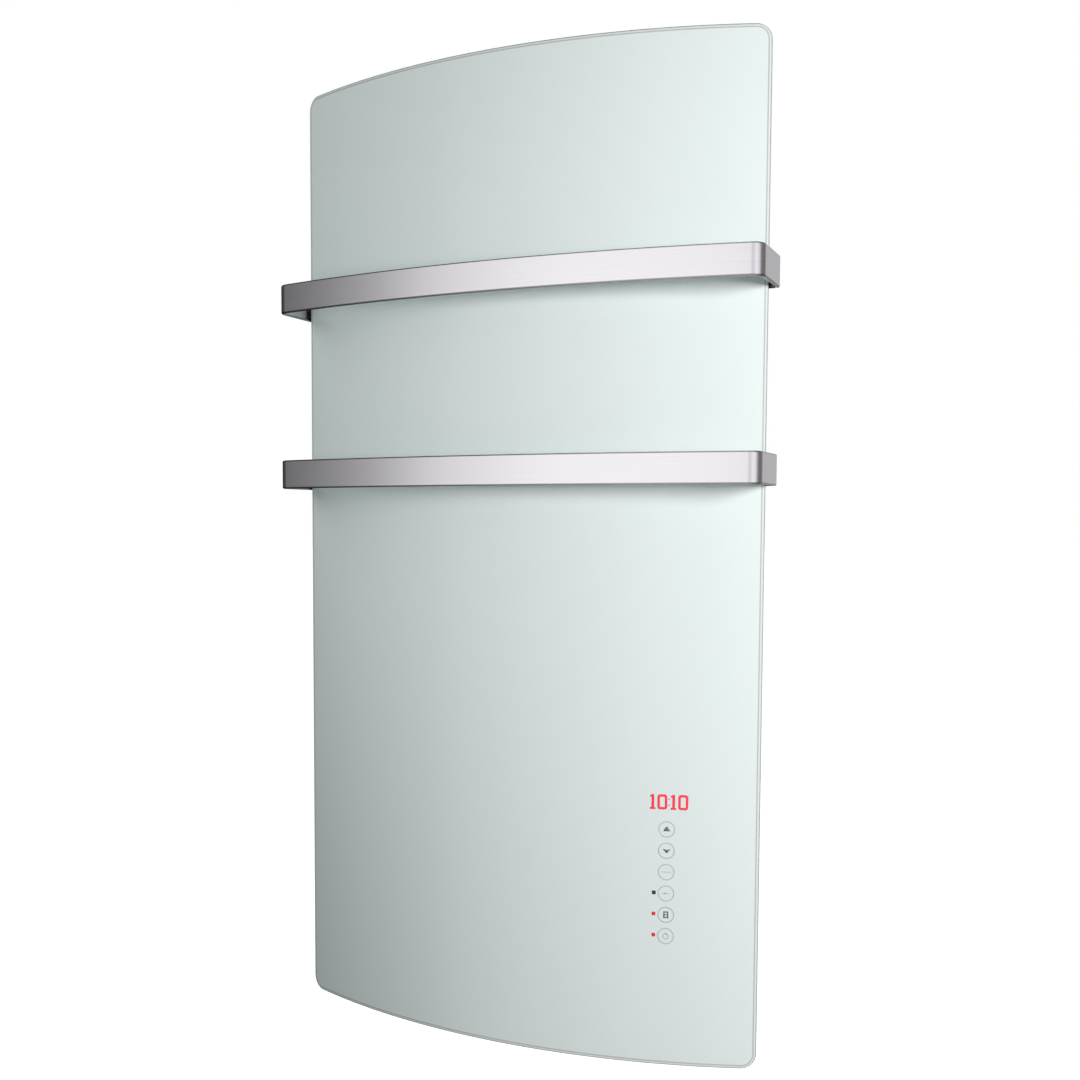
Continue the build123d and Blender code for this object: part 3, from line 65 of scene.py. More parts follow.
def ramp(tree, factor, stops, ease="LINEAR"):
    """A colour ramp from (place, grey or colour) pairs."""
    node = wire(tree, "ValToRGB", {"Fac": factor})
    node.color_ramp.interpolation = ease
    band = node.color_ramp.elements
    while len(band) < len(stops):
        band.new(0.5)
    for stop, (place, tone) in zip(band, stops):
        stop.position = place
        stop.color = (tone, tone, tone, 1) if isinstance(tone, (int, float)) else (*tone, 1)
    return node.outputs["Color"]


def blend(tree, factor, first, second, kind="MIX"):
    """Two colours mixed by a factor, or multiplied."""
    work = {"data_type": "RGBA", "blend_type": kind}
    return wire(tree, "Mix", {0: factor, 6: first, 7: second}, **work).outputs[2]


def ray_kinds(tree):
    """Whether a ray comes from the camera, and whether from a shiny or a clear surface."""
    rays = wire(tree, "LightPath").outputs
    seen = sum_of(tree, "MAXIMUM", rays["Is Glossy Ray"], rays["Is Transmission Ray"])
    return rays["Is Camera Ray"], seen


# Brightness of the room round the compass, in degrees from straight in front, positive to the
# right. The dim part at the far right is a little warm.
room_round = [
    (-180, 0.50), (-158, 0.40), (-142, 0.04), (-82, 0.04), (-70, 0.08), (-58, 0.13),
    (-45, 0.32), (-31, 0.78), (-15, 1.00), (8, 0.98), (22, 0.68), (36, 0.70), (52, 0.95),
    (72, 0.80), (98, (0.172, 0.160, 0.153)), (132, (0.150, 0.139, 0.132)), (158, 0.46),
    (180, 0.50),
]
fill_strength, room_strength = 0.62, 1.1


def compass(tree, look):
    """The room's brightness in the direction that two coordinates give."""
    turn = sum_of(tree, "ARCTAN2", look["X"], sum_of(tree, "MULTIPLY", look["Y"], -1.0))
    turn = sum_of(tree, "MULTIPLY_ADD", turn, 0.5 / math.pi, 0.5)
    return ramp(tree, turn, [(angle / 360 + 0.5, tone) for angle, tone in room_round], "EASE")


room = bpy.data.worlds.new("studio_room")
scene.world = room
room.use_nodes = True
tree = room.node_tree
tree.nodes.clear()
look = wire(tree, "SeparateXYZ", {0: wire(tree, "TexCoord").outputs["Generated"]}).outputs
around = compass(tree, look)
height = ramp(
    tree, sum_of(tree, "MULTIPLY_ADD", look["Z"], 0.5, 0.5),
    [(0.5, 0.95), (0.62, 0.93), (0.80, 0.60), (1.0, 0.40)],
)
graded = blend(tree, 1.0, around, height, "MULTIPLY")
ahead = sum_of(tree, "MULTIPLY_ADD", look["Y"], 0.5, 0.5)
fill = ramp(tree, ahead, [(0.38, 0.12), (0.54, 0.85)])
soft = wire(tree, "Background", {"Color": fill, "Strength": fill_strength})
shown = wire(tree, "Background", {"Color": graded, "Strength": room_strength})
white = wire(tree, "Background", {"Color": (1, 1, 1, 1), "Strength": 1.0})
direct, seen = ray_kinds(tree)
lit = wire(tree, "MixShader", {0: seen, 1: soft.outputs[0], 2: shown.outputs[0]})
sky = wire(tree, "MixShader", {0: direct, 1: lit.outputs[0], 2: white.outputs[0]})
wire(tree, "OutputWorld", {"Surface": sky.outputs[0]})

floor_z, floor_reach, floor_glow = -1.10, 45.0, 0.90
bm = bmesh.new()
bmesh.ops.create_grid(
    bm, x_segments=1, y_segments=1, size=floor_reach, matrix=Matrix.Translation((0, 0, floor_z))
)
floor = bpy.data.objects.new("studio_floor", bpy.data.meshes.new("studio_floor"))
bm.to_mesh(floor.data)
bm.free()
scene.collection.objects.link(floor)
pale = bpy.data.materials.new("pale_floor")
pale.use_nodes = True
tree = pale.node_tree
tree.nodes.clear()
place = wire(tree, "TexCoord").outputs["Object"]
speck = wire(tree, "TexNoise", {"Vector": place, "Scale": 60.0})
speckled = ramp(tree, speck.outputs[0], [(0.3, 0.64), (0.7, 0.68)])
matt = wire(tree, "BsdfDiffuse", {"Color": speckled})
direct, seen = ray_kinds(tree)
around = compass(tree, wire(tree, "SeparateXYZ", {0: place}).outputs)
shine = sum_of(tree, "MULTIPLY", direct, floor_glow)
glow = wire(tree, "Emission", {"Color": (1, 1, 1, 1), "Strength": shine})
pale_white = wire(tree, "AddShader", {0: matt.outputs[0], 1: glow.outputs[0]})
graded = wire(tree, "Emission", {"Color": around, "Strength": 1.0})
both = wire(tree, "MixShader", {0: seen, 1: pale_white.outputs[0], 2: graded.outputs[0]})
wire(tree, "OutputMaterial", {"Surface": both.outputs[0]})
floor.data.materials.append(pale)

lamp_target = Vector((0.05, -0.08, 0.0))
for name, place, size, energy, tint in (
    ("soft_lamp", (1.45, -0.98, 0.28), 0.64, 29.5, (1.0, 0.955, 0.955)),
    ("near_lamp", (-0.40, -0.70, 0.12), 0.45, 0.90, (1.0, 1.0, 1.0)),
    ("left_lamp", (-1.00, -0.45, 0.80), 1.00, 4.6, (1.0, 1.0, 1.0)),
):
    lamp = bpy.data.objects.new(name, bpy.data.lights.new(name, "AREA"))
    lamp.data.shape = "DISK"
    lamp.data.size = size
    lamp.data.energy = energy
    lamp.data.color = tint
    lamp.location = place
    aim = lamp_target - Vector(place)
    lamp.rotation_euler = aim.to_track_quat("-Z", "Y").to_euler()
    lamp.visible_glossy = lamp.visible_camera = False
    scene.collection.objects.link(lamp)

camera = bpy.data.objects.new("camera", bpy.data.cameras.new("camera"))
camera.location = (0.5165, -1.2289, 0.0352)
camera.rotation_euler = (math.pi / 2 - 0.0630, -0.0029, 0.4363)
camera.data.lens = 41.67
camera.data.sensor_width = 36.0
camera.data.shift_x = 0.0417
camera.data.shift_y = 0.0556
scene.collection.objects.link(camera)
scene.camera = camera


# Wall bracket. A pressed frame of zinc-plated steel, screwed to the wall at its four corners,
# with four bent hooks that carry the whole case.
def grain(tree, place, waves, detail=3.0):
    """Noise in Object coordinates, with so many waves to the metre, alike or along each axis."""
    stretch = waves if isinstance(waves, tuple) else (waves,) * 3
    spread = wire(tree, "Mapping", {"Vector": place, "Scale": stretch})
    noise = wire(tree, "TexNoise", {"Vector": spread.outputs[0], "Scale": 1.0, "Detail": detail})
    return noise.outputs[0]


def finish(
    name, colour, metallic, roughness, figure, tone=0.08, depth=0.0, dark=None, **plain
):
    """A surface whose figure turns its colour, gloss and height a little; depth is in metres."""
    material = bpy.data.materials.new(name)
    material.use_nodes = True
    tree = material.node_tree
    tree.nodes.clear()
    place = wire(tree, "TexCoord").outputs["Object"]
    kind, *sizes = figure
    factor = kind(tree, place, *sizes)
    low = dark or [c * (1 - tone) for c in colour]
    high = [min(1.0, c * (1 + tone)) for c in colour] if dark is None else colour
    skin = ramp(tree, factor, [(0.3, tuple(low)), (0.7, tuple(high))])
    gloss = ramp(tree, factor, [(0.2, roughness * 0.85), (0.8, min(1.0, roughness * 1.15))])
    looks = {"Base Color": skin, "Metallic": metallic, "Roughness": gloss, **plain}
    surface = wire(tree, "BsdfPrincipled", looks)
    if depth:
        relief = wire(tree, "Bump", {"Height": factor, "Strength": 1.0, "Distance": depth})
        tree.links.new(relief.outputs[0], surface.inputs["Normal"])
    wire(tree, "OutputMaterial", {"Surface": surface.outputs[0]})
    return material


def dress(material, *nodes):
    """Gives CAD nodes a finish in place of their plain colour."""
    for node in nodes:
        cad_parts[node].material_slots[0].material = material


zinc_plate = finish("zinc_plate", (0.66, 0.67, 0.69), 1.0, 0.34, (grain, 90, 4.0), 0.10, 0.00002)
dress(zinc_plate, "wall_bracket")

# Case. A pan of sheet steel, folded and spot welded, powder coated pale grey inside and out,
# with slots for the hooks, the fan's intake and the warm air. Rubber bumpers hold it off the wall.
powder_coat = finish(
    "powder_coat", (0.80, 0.815, 0.82), 0.0, 0.42, (grain, 1400, 2.0), 0.02, 0.00004
)
dress(powder_coat, "rear_chassis")
bumper_rubber = finish(
    "bumper_rubber", (0.028, 0.028, 0.030), 0.0, 0.72, (grain, 900), 0.20, 0.00003
)
dress(bumper_rubber, "wall_bumpers", "sensor_clip")


# Cover. A flat zinc-coated sheet that lies on the case's flange and is clamped under the rails.
def spangle(tree, place, size):
    """The flat crystals of a zinc coat, this large in metres."""
    crystals = wire(tree, "TexVoronoi", {"Vector": place, "Scale": 1.0 / size}, feature="F1")
    return crystals.outputs["Color"]


cover_zinc = finish("cover_zinc", (0.62, 0.63, 0.65), 0.9, 0.42, (spangle, 0.009), 0.12)
dress(cover_zinc, "case_cover")

# Rails. Two extruded aluminium strips, screwed to the case from inside, with the glass bonded
# to their curved fronts by strips of grey silicone.
drawn_aluminium = finish(
    "drawn_aluminium", (0.70, 0.71, 0.72), 1.0, 0.38, (grain, (1800, 1800, 12)), 0.08, 0.00002
)
dress(drawn_aluminium, "glass_rail_left", "glass_rail_right")
grey_silicone = finish(
    "grey_silicone", (0.42, 0.43, 0.43), 0.0, 0.55, (grain, (260, 260, 60)), 0.06, 0.00005
)
dress(grey_silicone, "bond_strips")
zinc_screw = finish("zinc_screw", (0.72, 0.72, 0.72), 1.0, 0.28, (grain, 1500), 0.10)
dress(zinc_screw, "rail_screws", "fan_screws", "box_screws", "holder_screws")


# Heating layers. A black carbon-printed film lies on the glass's back, then a pressed mineral
# felt, then a sheet of bright foil that turns the heat forward. A thermostat button sits on it.
def layers(tree, place, along, pitch):
    """Even lines across one axis, one to each pitch in metres."""
    axis = wire(tree, "SeparateXYZ", {0: place}).outputs[along]
    wave = sum_of(tree, "SINE", sum_of(tree, "MULTIPLY", axis, 2 * math.pi / pitch))
    return sum_of(tree, "MULTIPLY_ADD", wave, 0.5, 0.5)


carbon_film = finish(
    "carbon_film", (0.055, 0.055, 0.060), 0.0, 0.50, (layers, "Z", 0.010),
    dark=(0.020, 0.020, 0.022),
)
dress(carbon_film, "heating_foil")
mineral_felt = finish(
    "mineral_felt", (0.74, 0.71, 0.62), 0.0, 0.95, (grain, 420, 6.0), 0.14, 0.0004
)
dress(mineral_felt, "insulation_pad")
bright_foil = finish(
    "bright_foil", (0.86, 0.87, 0.88), 1.0, 0.16, (grain, (60, 60, 45), 5.0), 0.04, 0.0003
)
dress(bright_foil, "reflector_sheet")
drawn_can = finish("drawn_can", (0.70, 0.70, 0.71), 1.0, 0.26, (grain, 700), 0.06)
dress(drawn_can, "foil_thermostat", "thermal_cutout")

# Glass front. One sheet of 6 mm toughened glass, bent about an upright axis, with its edges
# ground round and polished and its back printed a pale grey-green up to 4 mm from the edge.
glass_width, glass_height, glass_thickness = 0.500, 0.980, 0.006
glass_bend, glass_axis_y = 0.650, 0.538
glass_corner, corner_steps = 0.015, 10
glass_round, round_steps = 0.0024, 5
glass_strips = 112
glass_half_turn = math.asin(glass_width / 2 / (glass_bend - glass_round))
glass_half_arc = glass_bend * glass_half_turn
upright = Matrix.Rotation(math.pi / 2, 4, "X")


def bend_to_glass(bm):
    """Wraps flat work, drawn in X and Z with its depth in Y, round the glass's axis."""
    for v in bm.verts:
        turn = v.co.x / glass_bend
        reach = glass_bend - v.co.y
        v.co = (reach * math.sin(turn), glass_axis_y - reach * math.cos(turn), v.co.z)


def make(name, bm, material, body="radiator", sharp=None):
    """A finished piece in its place, smooth apart from its sharp edges, that rides on a body."""
    mesh = bpy.data.meshes.new(name)
    bm.to_mesh(mesh)
    bm.free()
    mesh.shade_smooth()
    if sharp:
        mesh.set_sharp_from_angle(angle=math.radians(sharp))
    mesh.materials.append(material)
    piece = bpy.data.objects.new(name, mesh)
    scene.collection.objects.link(piece)
    evened = piece.modifiers.new("even_shading", "WEIGHTED_NORMAL")
    evened.keep_sharp = True
    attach(piece, body)
    return piece


bm = bmesh.new()
bmesh.ops.create_grid(bm, x_segments=1, y_segments=1, size=1.0, matrix=upright)
bmesh.ops.scale(bm, vec=(glass_half_arc, 1, glass_height / 2), verts=bm.verts)
bmesh.ops.bevel(
    bm, geom=bm.verts[:], offset=glass_corner, segments=corner_steps, profile=0.5,
    affect="VERTICES", material=-1,
)
grown = bmesh.ops.extrude_face_region(bm, geom=bm.faces[:], use_keep_orig=True)["geom"]
back = [v for v in grown if isinstance(v, bmesh.types.BMVert)]
bmesh.ops.translate(bm, vec=(0, glass_thickness, 0), verts=back)
bmesh.ops.recalc_face_normals(bm, faces=bm.faces)
rim = [e for e in bm.edges if abs(e.verts[0].co.y - e.verts[1].co.y) < 1e-6]
bmesh.ops.bevel(
    bm, geom=rim, offset=glass_round, segments=round_steps, profile=0.5,
    affect="EDGES", material=-1,
)
for i in range(1, glass_strips):
    x = glass_half_arc * (2 * i / glass_strips - 1)
    whole = bm.verts[:] + bm.edges[:] + bm.faces[:]
    bmesh.ops.bisect_plane(bm, geom=whole, plane_co=(x, 0, 0), plane_no=(1, 0, 0))
bend_to_glass(bm)

print_tone, back_tone = (0.672, 0.772, 0.762), (0.560, 0.585, 0.580, 1)
edge_reach, print_depth = 0.010, 0.0012
# The unprinted rim near the glass's edge is partly its own dark green tint and partly painted
# light: the bright line and the darker line inside it are painted refraction, standing for what the
# clear edge shows.
painted_rim_refraction = [
    (0.00, (0.235, 0.275, 0.262)), (0.10, (0.300, 0.345, 0.330)), (0.17, (0.640, 0.700, 0.690)),
    (0.27, (0.660, 0.725, 0.715)), (0.32, (0.400, 0.455, 0.440)), (0.39, (0.420, 0.475, 0.460)),
    (0.45, print_tone), (1.00, print_tone),
]


def length_of(tree, x, y):
    """The length of a flat vector."""
    flat = wire(tree, "CombineXYZ", {0: x, 1: y}).outputs[0]
    return wire(tree, "VectorMath", {0: flat}, operation="LENGTH").outputs["Value"]


printed_glass = bpy.data.materials.new("printed_glass")
printed_glass.use_nodes = True
tree = printed_glass.node_tree
tree.nodes.clear()
place = wire(tree, "TexCoord").outputs["Object"]
spot = wire(tree, "SeparateXYZ", {0: place}).outputs
inward = sum_of(tree, "SUBTRACT", glass_axis_y, spot["Y"])
turn = sum_of(tree, "ARCTAN2", spot["X"], inward)
past_x = sum_of(tree, "ABSOLUTE", sum_of(tree, "MULTIPLY", turn, glass_bend))
past_x = sum_of(tree, "SUBTRACT", past_x, glass_half_arc - glass_corner)
past_z = sum_of(tree, "ABSOLUTE", spot["Z"])
past_z = sum_of(tree, "SUBTRACT", past_z, glass_height / 2 - glass_corner)
corner = length_of(
    tree, sum_of(tree, "MAXIMUM", past_x, 0.0), sum_of(tree, "MAXIMUM", past_z, 0.0)
)
level = sum_of(tree, "MINIMUM", sum_of(tree, "MAXIMUM", past_x, past_z), 0.0)
from_edge = sum_of(tree, "SUBTRACT", glass_corner, sum_of(tree, "ADD", corner, level))
bands = ramp(tree, sum_of(tree, "DIVIDE", from_edge, edge_reach), painted_rim_refraction)
speck = grain(tree, place, 700, 2.0)
bands = blend(tree, 0.04, bands, ramp(tree, speck, [(0.3, 0.6), (0.7, 0.9)]))
reach = length_of(tree, spot["X"], inward)
behind = sum_of(tree, "LESS_THAN", reach, glass_bend - glass_thickness + print_depth)
skin = blend(tree, behind, bands, back_tone)
gloss = ramp(tree, speck, [(0.2, 0.50), (0.8, 0.60)])
sheet = wire(
    tree, "BsdfPrincipled",
    {
        "Base Color": skin, "Roughness": gloss, "Specular IOR Level": 0.15,
        "Coat Weight": 1.0, "Coat Roughness": 0.02, "Coat IOR": 1.52,
    },
)
wire(tree, "OutputMaterial", {"Surface": sheet.outputs[0]})
glass_panel = make("glass_panel", bm, printed_glass)
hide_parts("glass_front")

# Towel bars. Each is one strip of stainless steel, 30 by 4 mm with rounded edges, bent to a wide
# shallow C and brushed satin along its face. Its ends run back past the glass's edges.
bar_levels = {"upper": 0.268, "lower": 0.084}
bar_height, bar_strip, bar_eased = 0.030, 0.004, 0.0018
bar_half_width = 0.2575
bar_corner, bar_corner_steps = 0.014, 14
bar_bow, bar_bow_steps = 0.028, 64
bar_side_y, bar_end_y = -0.114, -0.047
bar_bend = (bar_half_width**2 + bar_bow**2) / (2 * bar_bow)
bar_axis_y = bar_bend + bar_side_y - bar_bow
corner_x = bar_half_width - bar_corner
corner_turn = math.asin(corner_x / (bar_bend - bar_corner))
corner_y = bar_axis_y - (bar_bend - bar_corner) * math.cos(corner_turn)

satin_steel = finish(
    "satin_steel", (0.900, 0.880, 0.920), 1.0, 0.24, (grain, (14, 14, 3600), 3.0), 0.035, 0.000004
)
tree = satin_steel.node_tree
surface = next(n for n in tree.nodes if n.type == "BSDF_PRINCIPLED")
bar_apart = bar_levels["upper"] - bar_levels["lower"]
rise = wire(tree, "SeparateXYZ", {0: wire(tree, "TexCoord").outputs["Object"]}).outputs["Z"]
rise = sum_of(tree, "SUBTRACT", rise, bar_levels["lower"])
rise = sum_of(tree, "WRAP", rise, bar_apart / 2, -bar_apart / 2)
# The strip's top and bottom edges are painted darker, a painted shade and reflection for the dark
# lines that light and the glass give there; the bottom edge is painted darkest.
painted_edge_shade = ramp(
    tree, sum_of(tree, "MULTIPLY_ADD", rise, 1 / bar_height, 0.5),
    [(0.0, 0.36), (0.045, 0.40), (0.065, 1.0), (0.945, 1.0), (0.965, 0.70), (1.0, 0.62)],
)
face_tone = surface.inputs["Base Color"].links[0].from_socket
toned = blend(tree, 1.0, face_tone, painted_edge_shade, "MULTIPLY")
tree.links.new(toned, surface.inputs["Base Color"])
for level, bar_z in bar_levels.items():
    bm = bmesh.new()
    start = Matrix.Translation((bar_strip / 2 - bar_half_width, bar_end_y, bar_z))
    bmesh.ops.create_grid(bm, x_segments=1, y_segments=1, size=0.5, matrix=start @ upright)
    bmesh.ops.scale(
        bm, vec=(bar_strip, 1, bar_height), verts=bm.verts, space=start.inverted()
    )
    bmesh.ops.bevel(
        bm, geom=bm.verts[:], offset=bar_eased, segments=4, profile=0.5,
        affect="VERTICES", material=-1,
    )
    bmesh.ops.delete(bm, geom=bm.faces[:], context="FACES_ONLY")
    ring = bm.verts[:] + bm.edges[:]
    for cent, angle, steps in (
        ((0, corner_y - bar_end_y, 0), None, 1),
        ((-corner_x, corner_y, 0), math.pi / 2 - corner_turn, bar_corner_steps),
        ((0, bar_axis_y, 0), 2 * corner_turn, bar_bow_steps),
        ((corner_x, corner_y, 0), math.pi / 2 - corner_turn, bar_corner_steps),
        ((0, bar_end_y - corner_y, 0), None, 1),
    ):
        if angle is None:
            outline = [e for e in ring if isinstance(e, bmesh.types.BMEdge)]
            grown = bmesh.ops.extrude_edge_only(bm, edges=outline)["geom"]
            ends = [g for g in grown if isinstance(g, bmesh.types.BMVert)]
            ring = ends + [e for e in bm.edges if all(v in ends for v in e.verts)]
            bmesh.ops.translate(bm, vec=cent, verts=ends)
        else:
            ring = bmesh.ops.spin(
                bm, geom=ring, cent=cent, axis=(0, 0, 1), angle=angle, steps=steps,
                use_duplicate=False,
            )["geom_last"]
    bmesh.ops.remove_doubles(bm, verts=bm.verts, dist=1e-6)
    bmesh.ops.holes_fill(bm, edges=[e for e in bm.edges if e.is_boundary])
    bmesh.ops.recalc_face_normals(bm, faces=bm.faces)
    bar = make(f"bar_{level}", bm, satin_steel, sharp=40)
    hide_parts(f"towel_bar_{level}")

# Bar holders. Folded from 2.5 mm steel and coated satin black: one leg is screwed inside the
# bar's end, the other to the case's side, out of sight behind the glass.
satin_black = finish(
    "satin_black", (0.006, 0.006, 0.0065), 0.0, 0.42, (grain, 1200), 0.15, 0.00002,
    **{"Specular IOR Level": 0.25},
)
dress(
    satin_black,
    "bar_holder_upper_left", "bar_holder_upper_right",
    "bar_holder_lower_left", "bar_holder_lower_right",
)
black_screw = finish("black_screw", (0.030, 0.030, 0.032), 0.6, 0.36, (grain, 1500), 0.15)
dress(black_screw, "bar_screws")

# Clock. Four red numerals and a colon, lit from behind through the print. The digit block
# itself, with its dark lens, sits on the board behind the glass.
clock_x, clock_z = 171.7, -232.1
digit_half, digit_width, digit_line, foot = 7.3, 9.4, 2.35, 1.9
colon_side, colon_rise = 1.3, 2.9
ink_lift, ink_thickness = 0.00008, 0.00006


def mark(bm, *points):
    """A flat face on the glass from points in millimetres, counted from the glass's middle."""
    return bm.faces.new([bm.verts.new((x / 1000, 0, z / 1000)) for x, z in points])


def block(bm, x, z, width, height, corner=0.0, hole=0.0):
    """A flat rectangle in millimetres, with its corners rounded, or a band of it this wide."""
    w, h = width / 2, height / 2
    face = mark(bm, (x - w, z - h), (x + w, z - h), (x + w, z + h), (x - w, z + h))
    if corner:
        before = set(bm.faces) - {face}
        bmesh.ops.bevel(
            bm, geom=face.verts[:], offset=corner / 1000, segments=5, profile=0.5,
            affect="VERTICES", material=-1, clamp_overlap=True,
        )
        face = (set(bm.faces) - before).pop()
    if hole:
        bmesh.ops.inset_individual(bm, faces=[face], thickness=hole / 1000)
        bmesh.ops.delete(bm, geom=[face], context="FACES")


def print_on_glass(name, bm, material):
    """Bends flat marks to the glass and gives them the thickness of a coat of ink."""
    bmesh.ops.recalc_face_normals(bm, faces=bm.faces)
    for f in bm.faces:
        if f.normal.y > 0:
            f.normal_flip()
    for v in bm.verts:
        v.co.y = -ink_lift
    bend_to_glass(bm)
    piece = make(name, bm, material)
    piece.modifiers.remove(piece.modifiers["even_shading"])
    coat = piece.modifiers.new("ink", "SOLIDIFY")
    coat.thickness = ink_thickness
    coat.offset = -1.0


lit_red = finish(
    "lit_red", (0.62, 0.030, 0.045), 0.0, 0.45, (grain, 500), 0.06,
    **{"Emission Color": (0.80, 0.045, 0.070, 1), "Emission Strength": 0.48},
)
bm = bmesh.new()
for left in (-18.2, 1.6):
    x, low, high = clock_x + left, clock_z - digit_half, clock_z + digit_half
    mark(
        bm, (x, low), (x + 5.2, low), (x + 5.2, low + foot), (x + 3.9, low + foot),
        (x + 3.9, high), (x + 1.9, high), (x, high - 1.4), (x, high - 3.1),
        (x + 1.4, high - 2.4), (x + 1.4, low + foot), (x, low + foot),
    )
for middle in (-6.5, 13.3):
    block(bm, clock_x + middle, clock_z, digit_width, 2 * digit_half, 2.6, digit_line)
for rise in (-colon_rise, colon_rise):
    block(bm, clock_x - 0.2, clock_z + rise, colon_side, colon_side)
print_on_glass("clock_digits", bm, lit_red)

# Touch fields. Six thin rings with plain signs: up, down, a dashed line, a dash between dots, a
# warm air grid and the on-off sign. They are printed grey, and each lies over a copper pad.
field_x = 169.7
ring_radius, ring_line, dash_height = 7.9, 0.9, 1.1
field_zs = [-258.5 - 20.8 * i for i in range(6)]
ring_ink = finish("ring_ink", (0.455, 0.505, 0.495), 0.0, 0.5, (grain, 600), 0.05)
sign_ink = finish("sign_ink", (0.150, 0.170, 0.168), 0.0, 0.5, (grain, 600), 0.08)


def hoop(bm, x, z, radius, line):
    """A printed circle in millimetres."""
    face = bmesh.ops.create_circle(
        bm, cap_ends=True, radius=radius / 1000, segments=40,
        matrix=Matrix.Translation((x / 1000, 0, z / 1000)) @ upright,
    )["verts"][0].link_faces[0]
    bmesh.ops.inset_individual(bm, faces=[face], thickness=line / 1000)
    bmesh.ops.delete(bm, geom=[face], context="FACES")


bm = bmesh.new()
for z in field_zs:
    hoop(bm, field_x, z, ring_radius, ring_line)
for i in range(5):
    block(bm, field_x - 3.6 + 1.8 * i, field_zs[2], 1.2, 0.9)
for x, width in ((-3.2, 1.1), (-0.6, 2.6), (2.8, 1.1)):
    block(bm, field_x + x, field_zs[3], width, dash_height)
hoop(bm, field_x, field_zs[5] - 0.2, 2.9, 0.8)
block(bm, field_x, field_zs[5] + 2.6, 0.8, 2.2)
print_on_glass("field_rings", bm, ring_ink)

bm = bmesh.new()
x, z = field_x, field_zs[0]
mark(bm, (x - 3.5, z - 1.9), (x + 3.5, z - 1.9), (x + 0.6, z + 2.5), (x - 0.6, z + 2.5))
z = field_zs[1]
mark(
    bm, (x - 3.7, z + 1.9), (x - 0.6, z - 2.3), (x + 0.6, z - 2.3), (x + 3.7, z + 1.9),
    (x, z + 0.7),
)
z = field_zs[4]
for side in (-1.75, 1.75):
    block(bm, x + side, z, 1.3, 6.8)
for rise in (-2.6, 0.0, 2.6):
    block(bm, x, z + rise, 2.0, 1.0)
print_on_glass("field_signs", bm, sign_ink)

# Indicator lights. Three small square lights left of the lower fields: the top one is off, the
# other two glow red.
light_x, light_side = 158.0, 3.6
dark_lens = finish("dark_lens", (0.020, 0.040, 0.036), 0.0, 0.3, (grain, 900), 0.10)
lit_lamp = finish(
    "lit_lamp", (0.42, 0.015, 0.022), 0.0, 0.4, (grain, 900), 0.10,
    **{"Emission Color": (0.70, 0.020, 0.035, 1), "Emission Strength": 0.45},
)
bm = bmesh.new()
block(bm, light_x, field_zs[3] + 0.4, light_side, light_side, 0.5)
print_on_glass("light_off", bm, dark_lens)
bm = bmesh.new()
for z in field_zs[4:]:
    block(bm, light_x, z + 0.6, light_side, light_side, 1.2)
print_on_glass("lights_on", bm, lit_lamp)

# Display board. A green circuit board in a black moulded frame, glued behind the glass, with
# its dark lens, tinned spring pads, lights and a flat grey ribbon to the electronics box.
moulded_black = finish(
    "moulded_black", (0.030, 0.030, 0.032), 0.0, 0.48, (grain, 1600), 0.15, 0.00003
)
dress(moulded_black, "display_carrier", "switch_body", "cable_gland", "gland_nut")
solder_mask = finish("solder_mask", (0.018, 0.150, 0.060), 0.0, 0.30, (grain, 240, 5.0), 0.25)
dress(solder_mask, "display_board", "power_board")
smoked_lens = finish("smoked_lens", (0.070, 0.006, 0.008), 0.0, 0.12, (grain, 300), 0.10)
dress(smoked_lens, "digit_display")
tinned_copper = finish("tinned_copper", (0.72, 0.50, 0.36), 1.0, 0.30, (grain, 600), 0.10)
dress(tinned_copper, "touch_pads")
red_lens = finish("red_lens", (0.45, 0.020, 0.022), 0.0, 0.25, (grain, 800), 0.10)
dress(red_lens, "indicator_leds")
ribbon_grey = finish(
    "ribbon_grey", (0.36, 0.36, 0.37), 0.0, 0.45, (layers, "Z", 0.00127), dark=(0.26, 0.26, 0.27)
)
dress(ribbon_grey, "display_ribbon")

# Fan. A long cross-flow wheel of black glass-filled plastic on a ground steel shaft, in bronze
# bushes, inside a galvanised duct whose outlet is under the case.
galvanised = finish("galvanised", (0.60, 0.61, 0.63), 0.9, 0.40, (spangle, 0.006), 0.14)
dress(galvanised, "fan_housing", "fan_tongue")
wheel_plastic = finish(
    "wheel_plastic", (0.045, 0.045, 0.050), 0.0, 0.50, (grain, (120, 900, 900)), 0.20, 0.00002
)
dress(wheel_plastic, "impeller")
ground_steel = finish(
    "ground_steel", (0.78, 0.78, 0.79), 1.0, 0.18, (grain, (2600, 200, 200)), 0.05
)
dress(ground_steel, "fan_shaft", "motor_posts", "room_sensor")
oiled_bronze = finish("oiled_bronze", (0.60, 0.40, 0.17), 1.0, 0.42, (grain, 1800), 0.20, 0.00002)
dress(oiled_bronze, "shaft_bushes", "earth_stud")

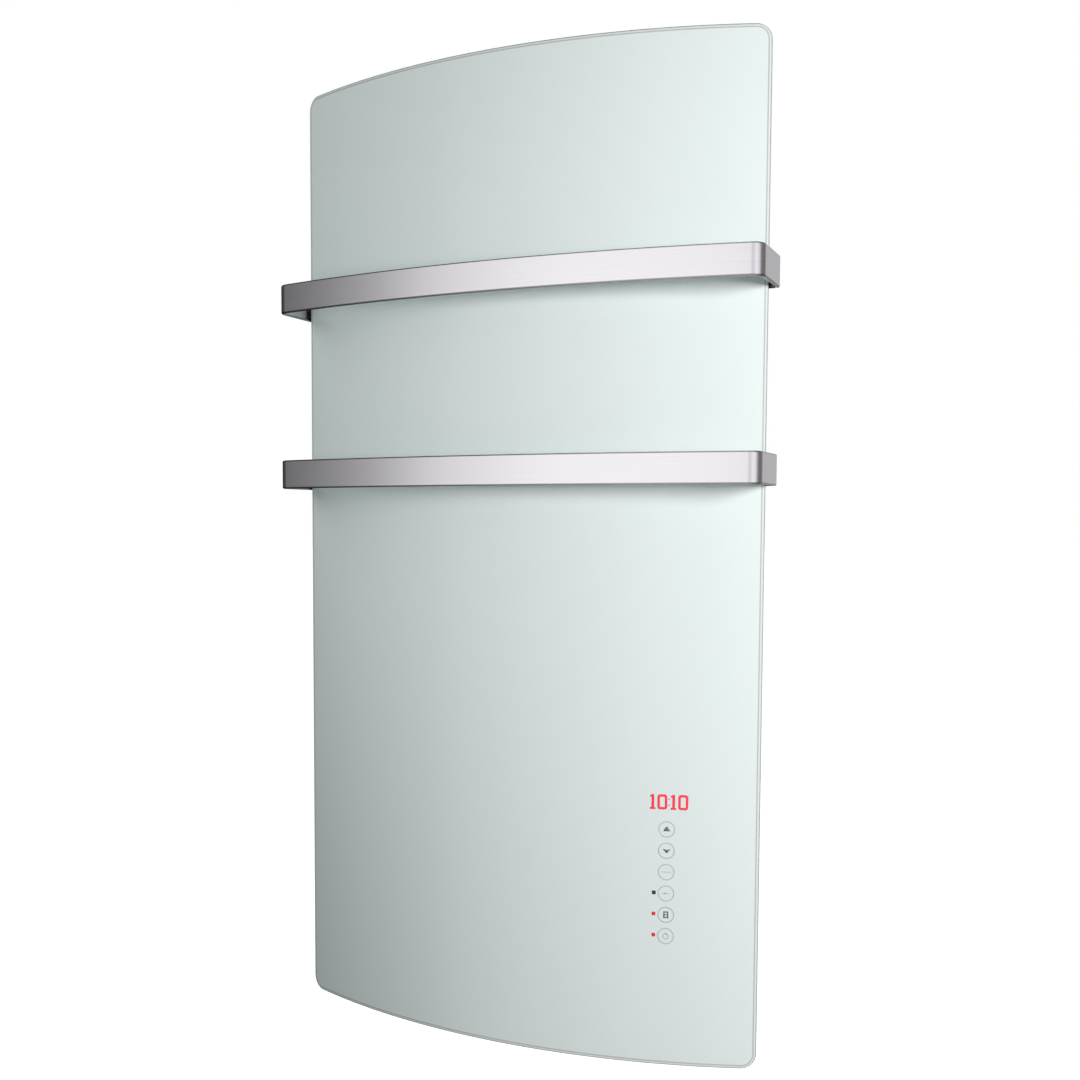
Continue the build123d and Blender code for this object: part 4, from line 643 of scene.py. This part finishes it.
# Motor. A shaded-pole motor on the wheel's shaft: a stack of half-millimetre laminations, a
# taped copper coil on its lower leg and two cast bridges that hold the bushes.
stacked_iron = finish(
    "stacked_iron", (0.34, 0.34, 0.36), 0.9, 0.45, (layers, "X", 0.0005), dark=(0.20, 0.20, 0.21)
)
dress(stacked_iron, "motor_core", "motor_rotor")
coil_tape = finish(
    "coil_tape", (0.62, 0.38, 0.10), 0.0, 0.35, (layers, "X", 0.0012), dark=(0.44, 0.24, 0.06)
)
dress(coil_tape, "motor_coil")
cast_metal = finish("cast_metal", (0.62, 0.62, 0.64), 1.0, 0.48, (grain, 800), 0.10, 0.00004)
dress(cast_metal, "motor_bridges")

# Fan heater. A frame of heat-resistant plastic across the duct holds a ceramic bar between two
# rows of folded aluminium fins, with a cut-out on top. A slotted grille closes the outlet.
heat_plastic = finish("heat_plastic", (0.70, 0.65, 0.52), 0.0, 0.60, (grain, 900), 0.06, 0.00003)
dress(heat_plastic, "heater_frame")
folded_fin = finish("folded_fin", (0.76, 0.77, 0.78), 1.0, 0.30, (grain, (300, 300, 1500)), 0.08)
dress(folded_fin, "heater_element")
grille_grey = finish("grille_grey", (0.60, 0.62, 0.62), 0.0, 0.50, (grain, 1600), 0.04, 0.00003)
dress(grille_grey, "outlet_grille")

# Electronics. A white moulded tray and lid on the case's back hold the power board with its
# relays, transformer, capacitors and terminals. Sleeved leads run to the heaters and the switch.
moulded_white = finish("moulded_white", (0.76, 0.76, 0.74), 0.0, 0.48, (grain, 1500), 0.03, 0.00002)
dress(moulded_white, "electronics_base", "electronics_lid", "terminal_block")
relay_blue = finish("relay_blue", (0.030, 0.070, 0.260), 0.0, 0.22, (grain, 400), 0.10)
dress(relay_blue, "relays")
wound_tape = finish(
    "wound_tape", (0.66, 0.54, 0.12), 0.0, 0.35, (layers, "Z", 0.002), dark=(0.50, 0.38, 0.07)
)
dress(wound_tape, "transformer")
sleeved_can = finish("sleeved_can", (0.060, 0.075, 0.140), 0.0, 0.24, (grain, 500), 0.12)
dress(sleeved_can, "capacitors")
lead_sleeve = finish("lead_sleeve", (0.72, 0.71, 0.67), 0.0, 0.60, (grain, 2200), 0.08, 0.00005)
dress(lead_sleeve, "heater_leads", "fan_leads", "switch_leads")

# Mains switch. A glossy black rocker that tips on two pins in a body clipped into the case's
# right side, near its lower end.
rocker_gloss = finish("rocker_gloss", (0.022, 0.022, 0.024), 0.0, 0.14, (grain, 700), 0.10)
dress(rocker_gloss, "switch_rocker")
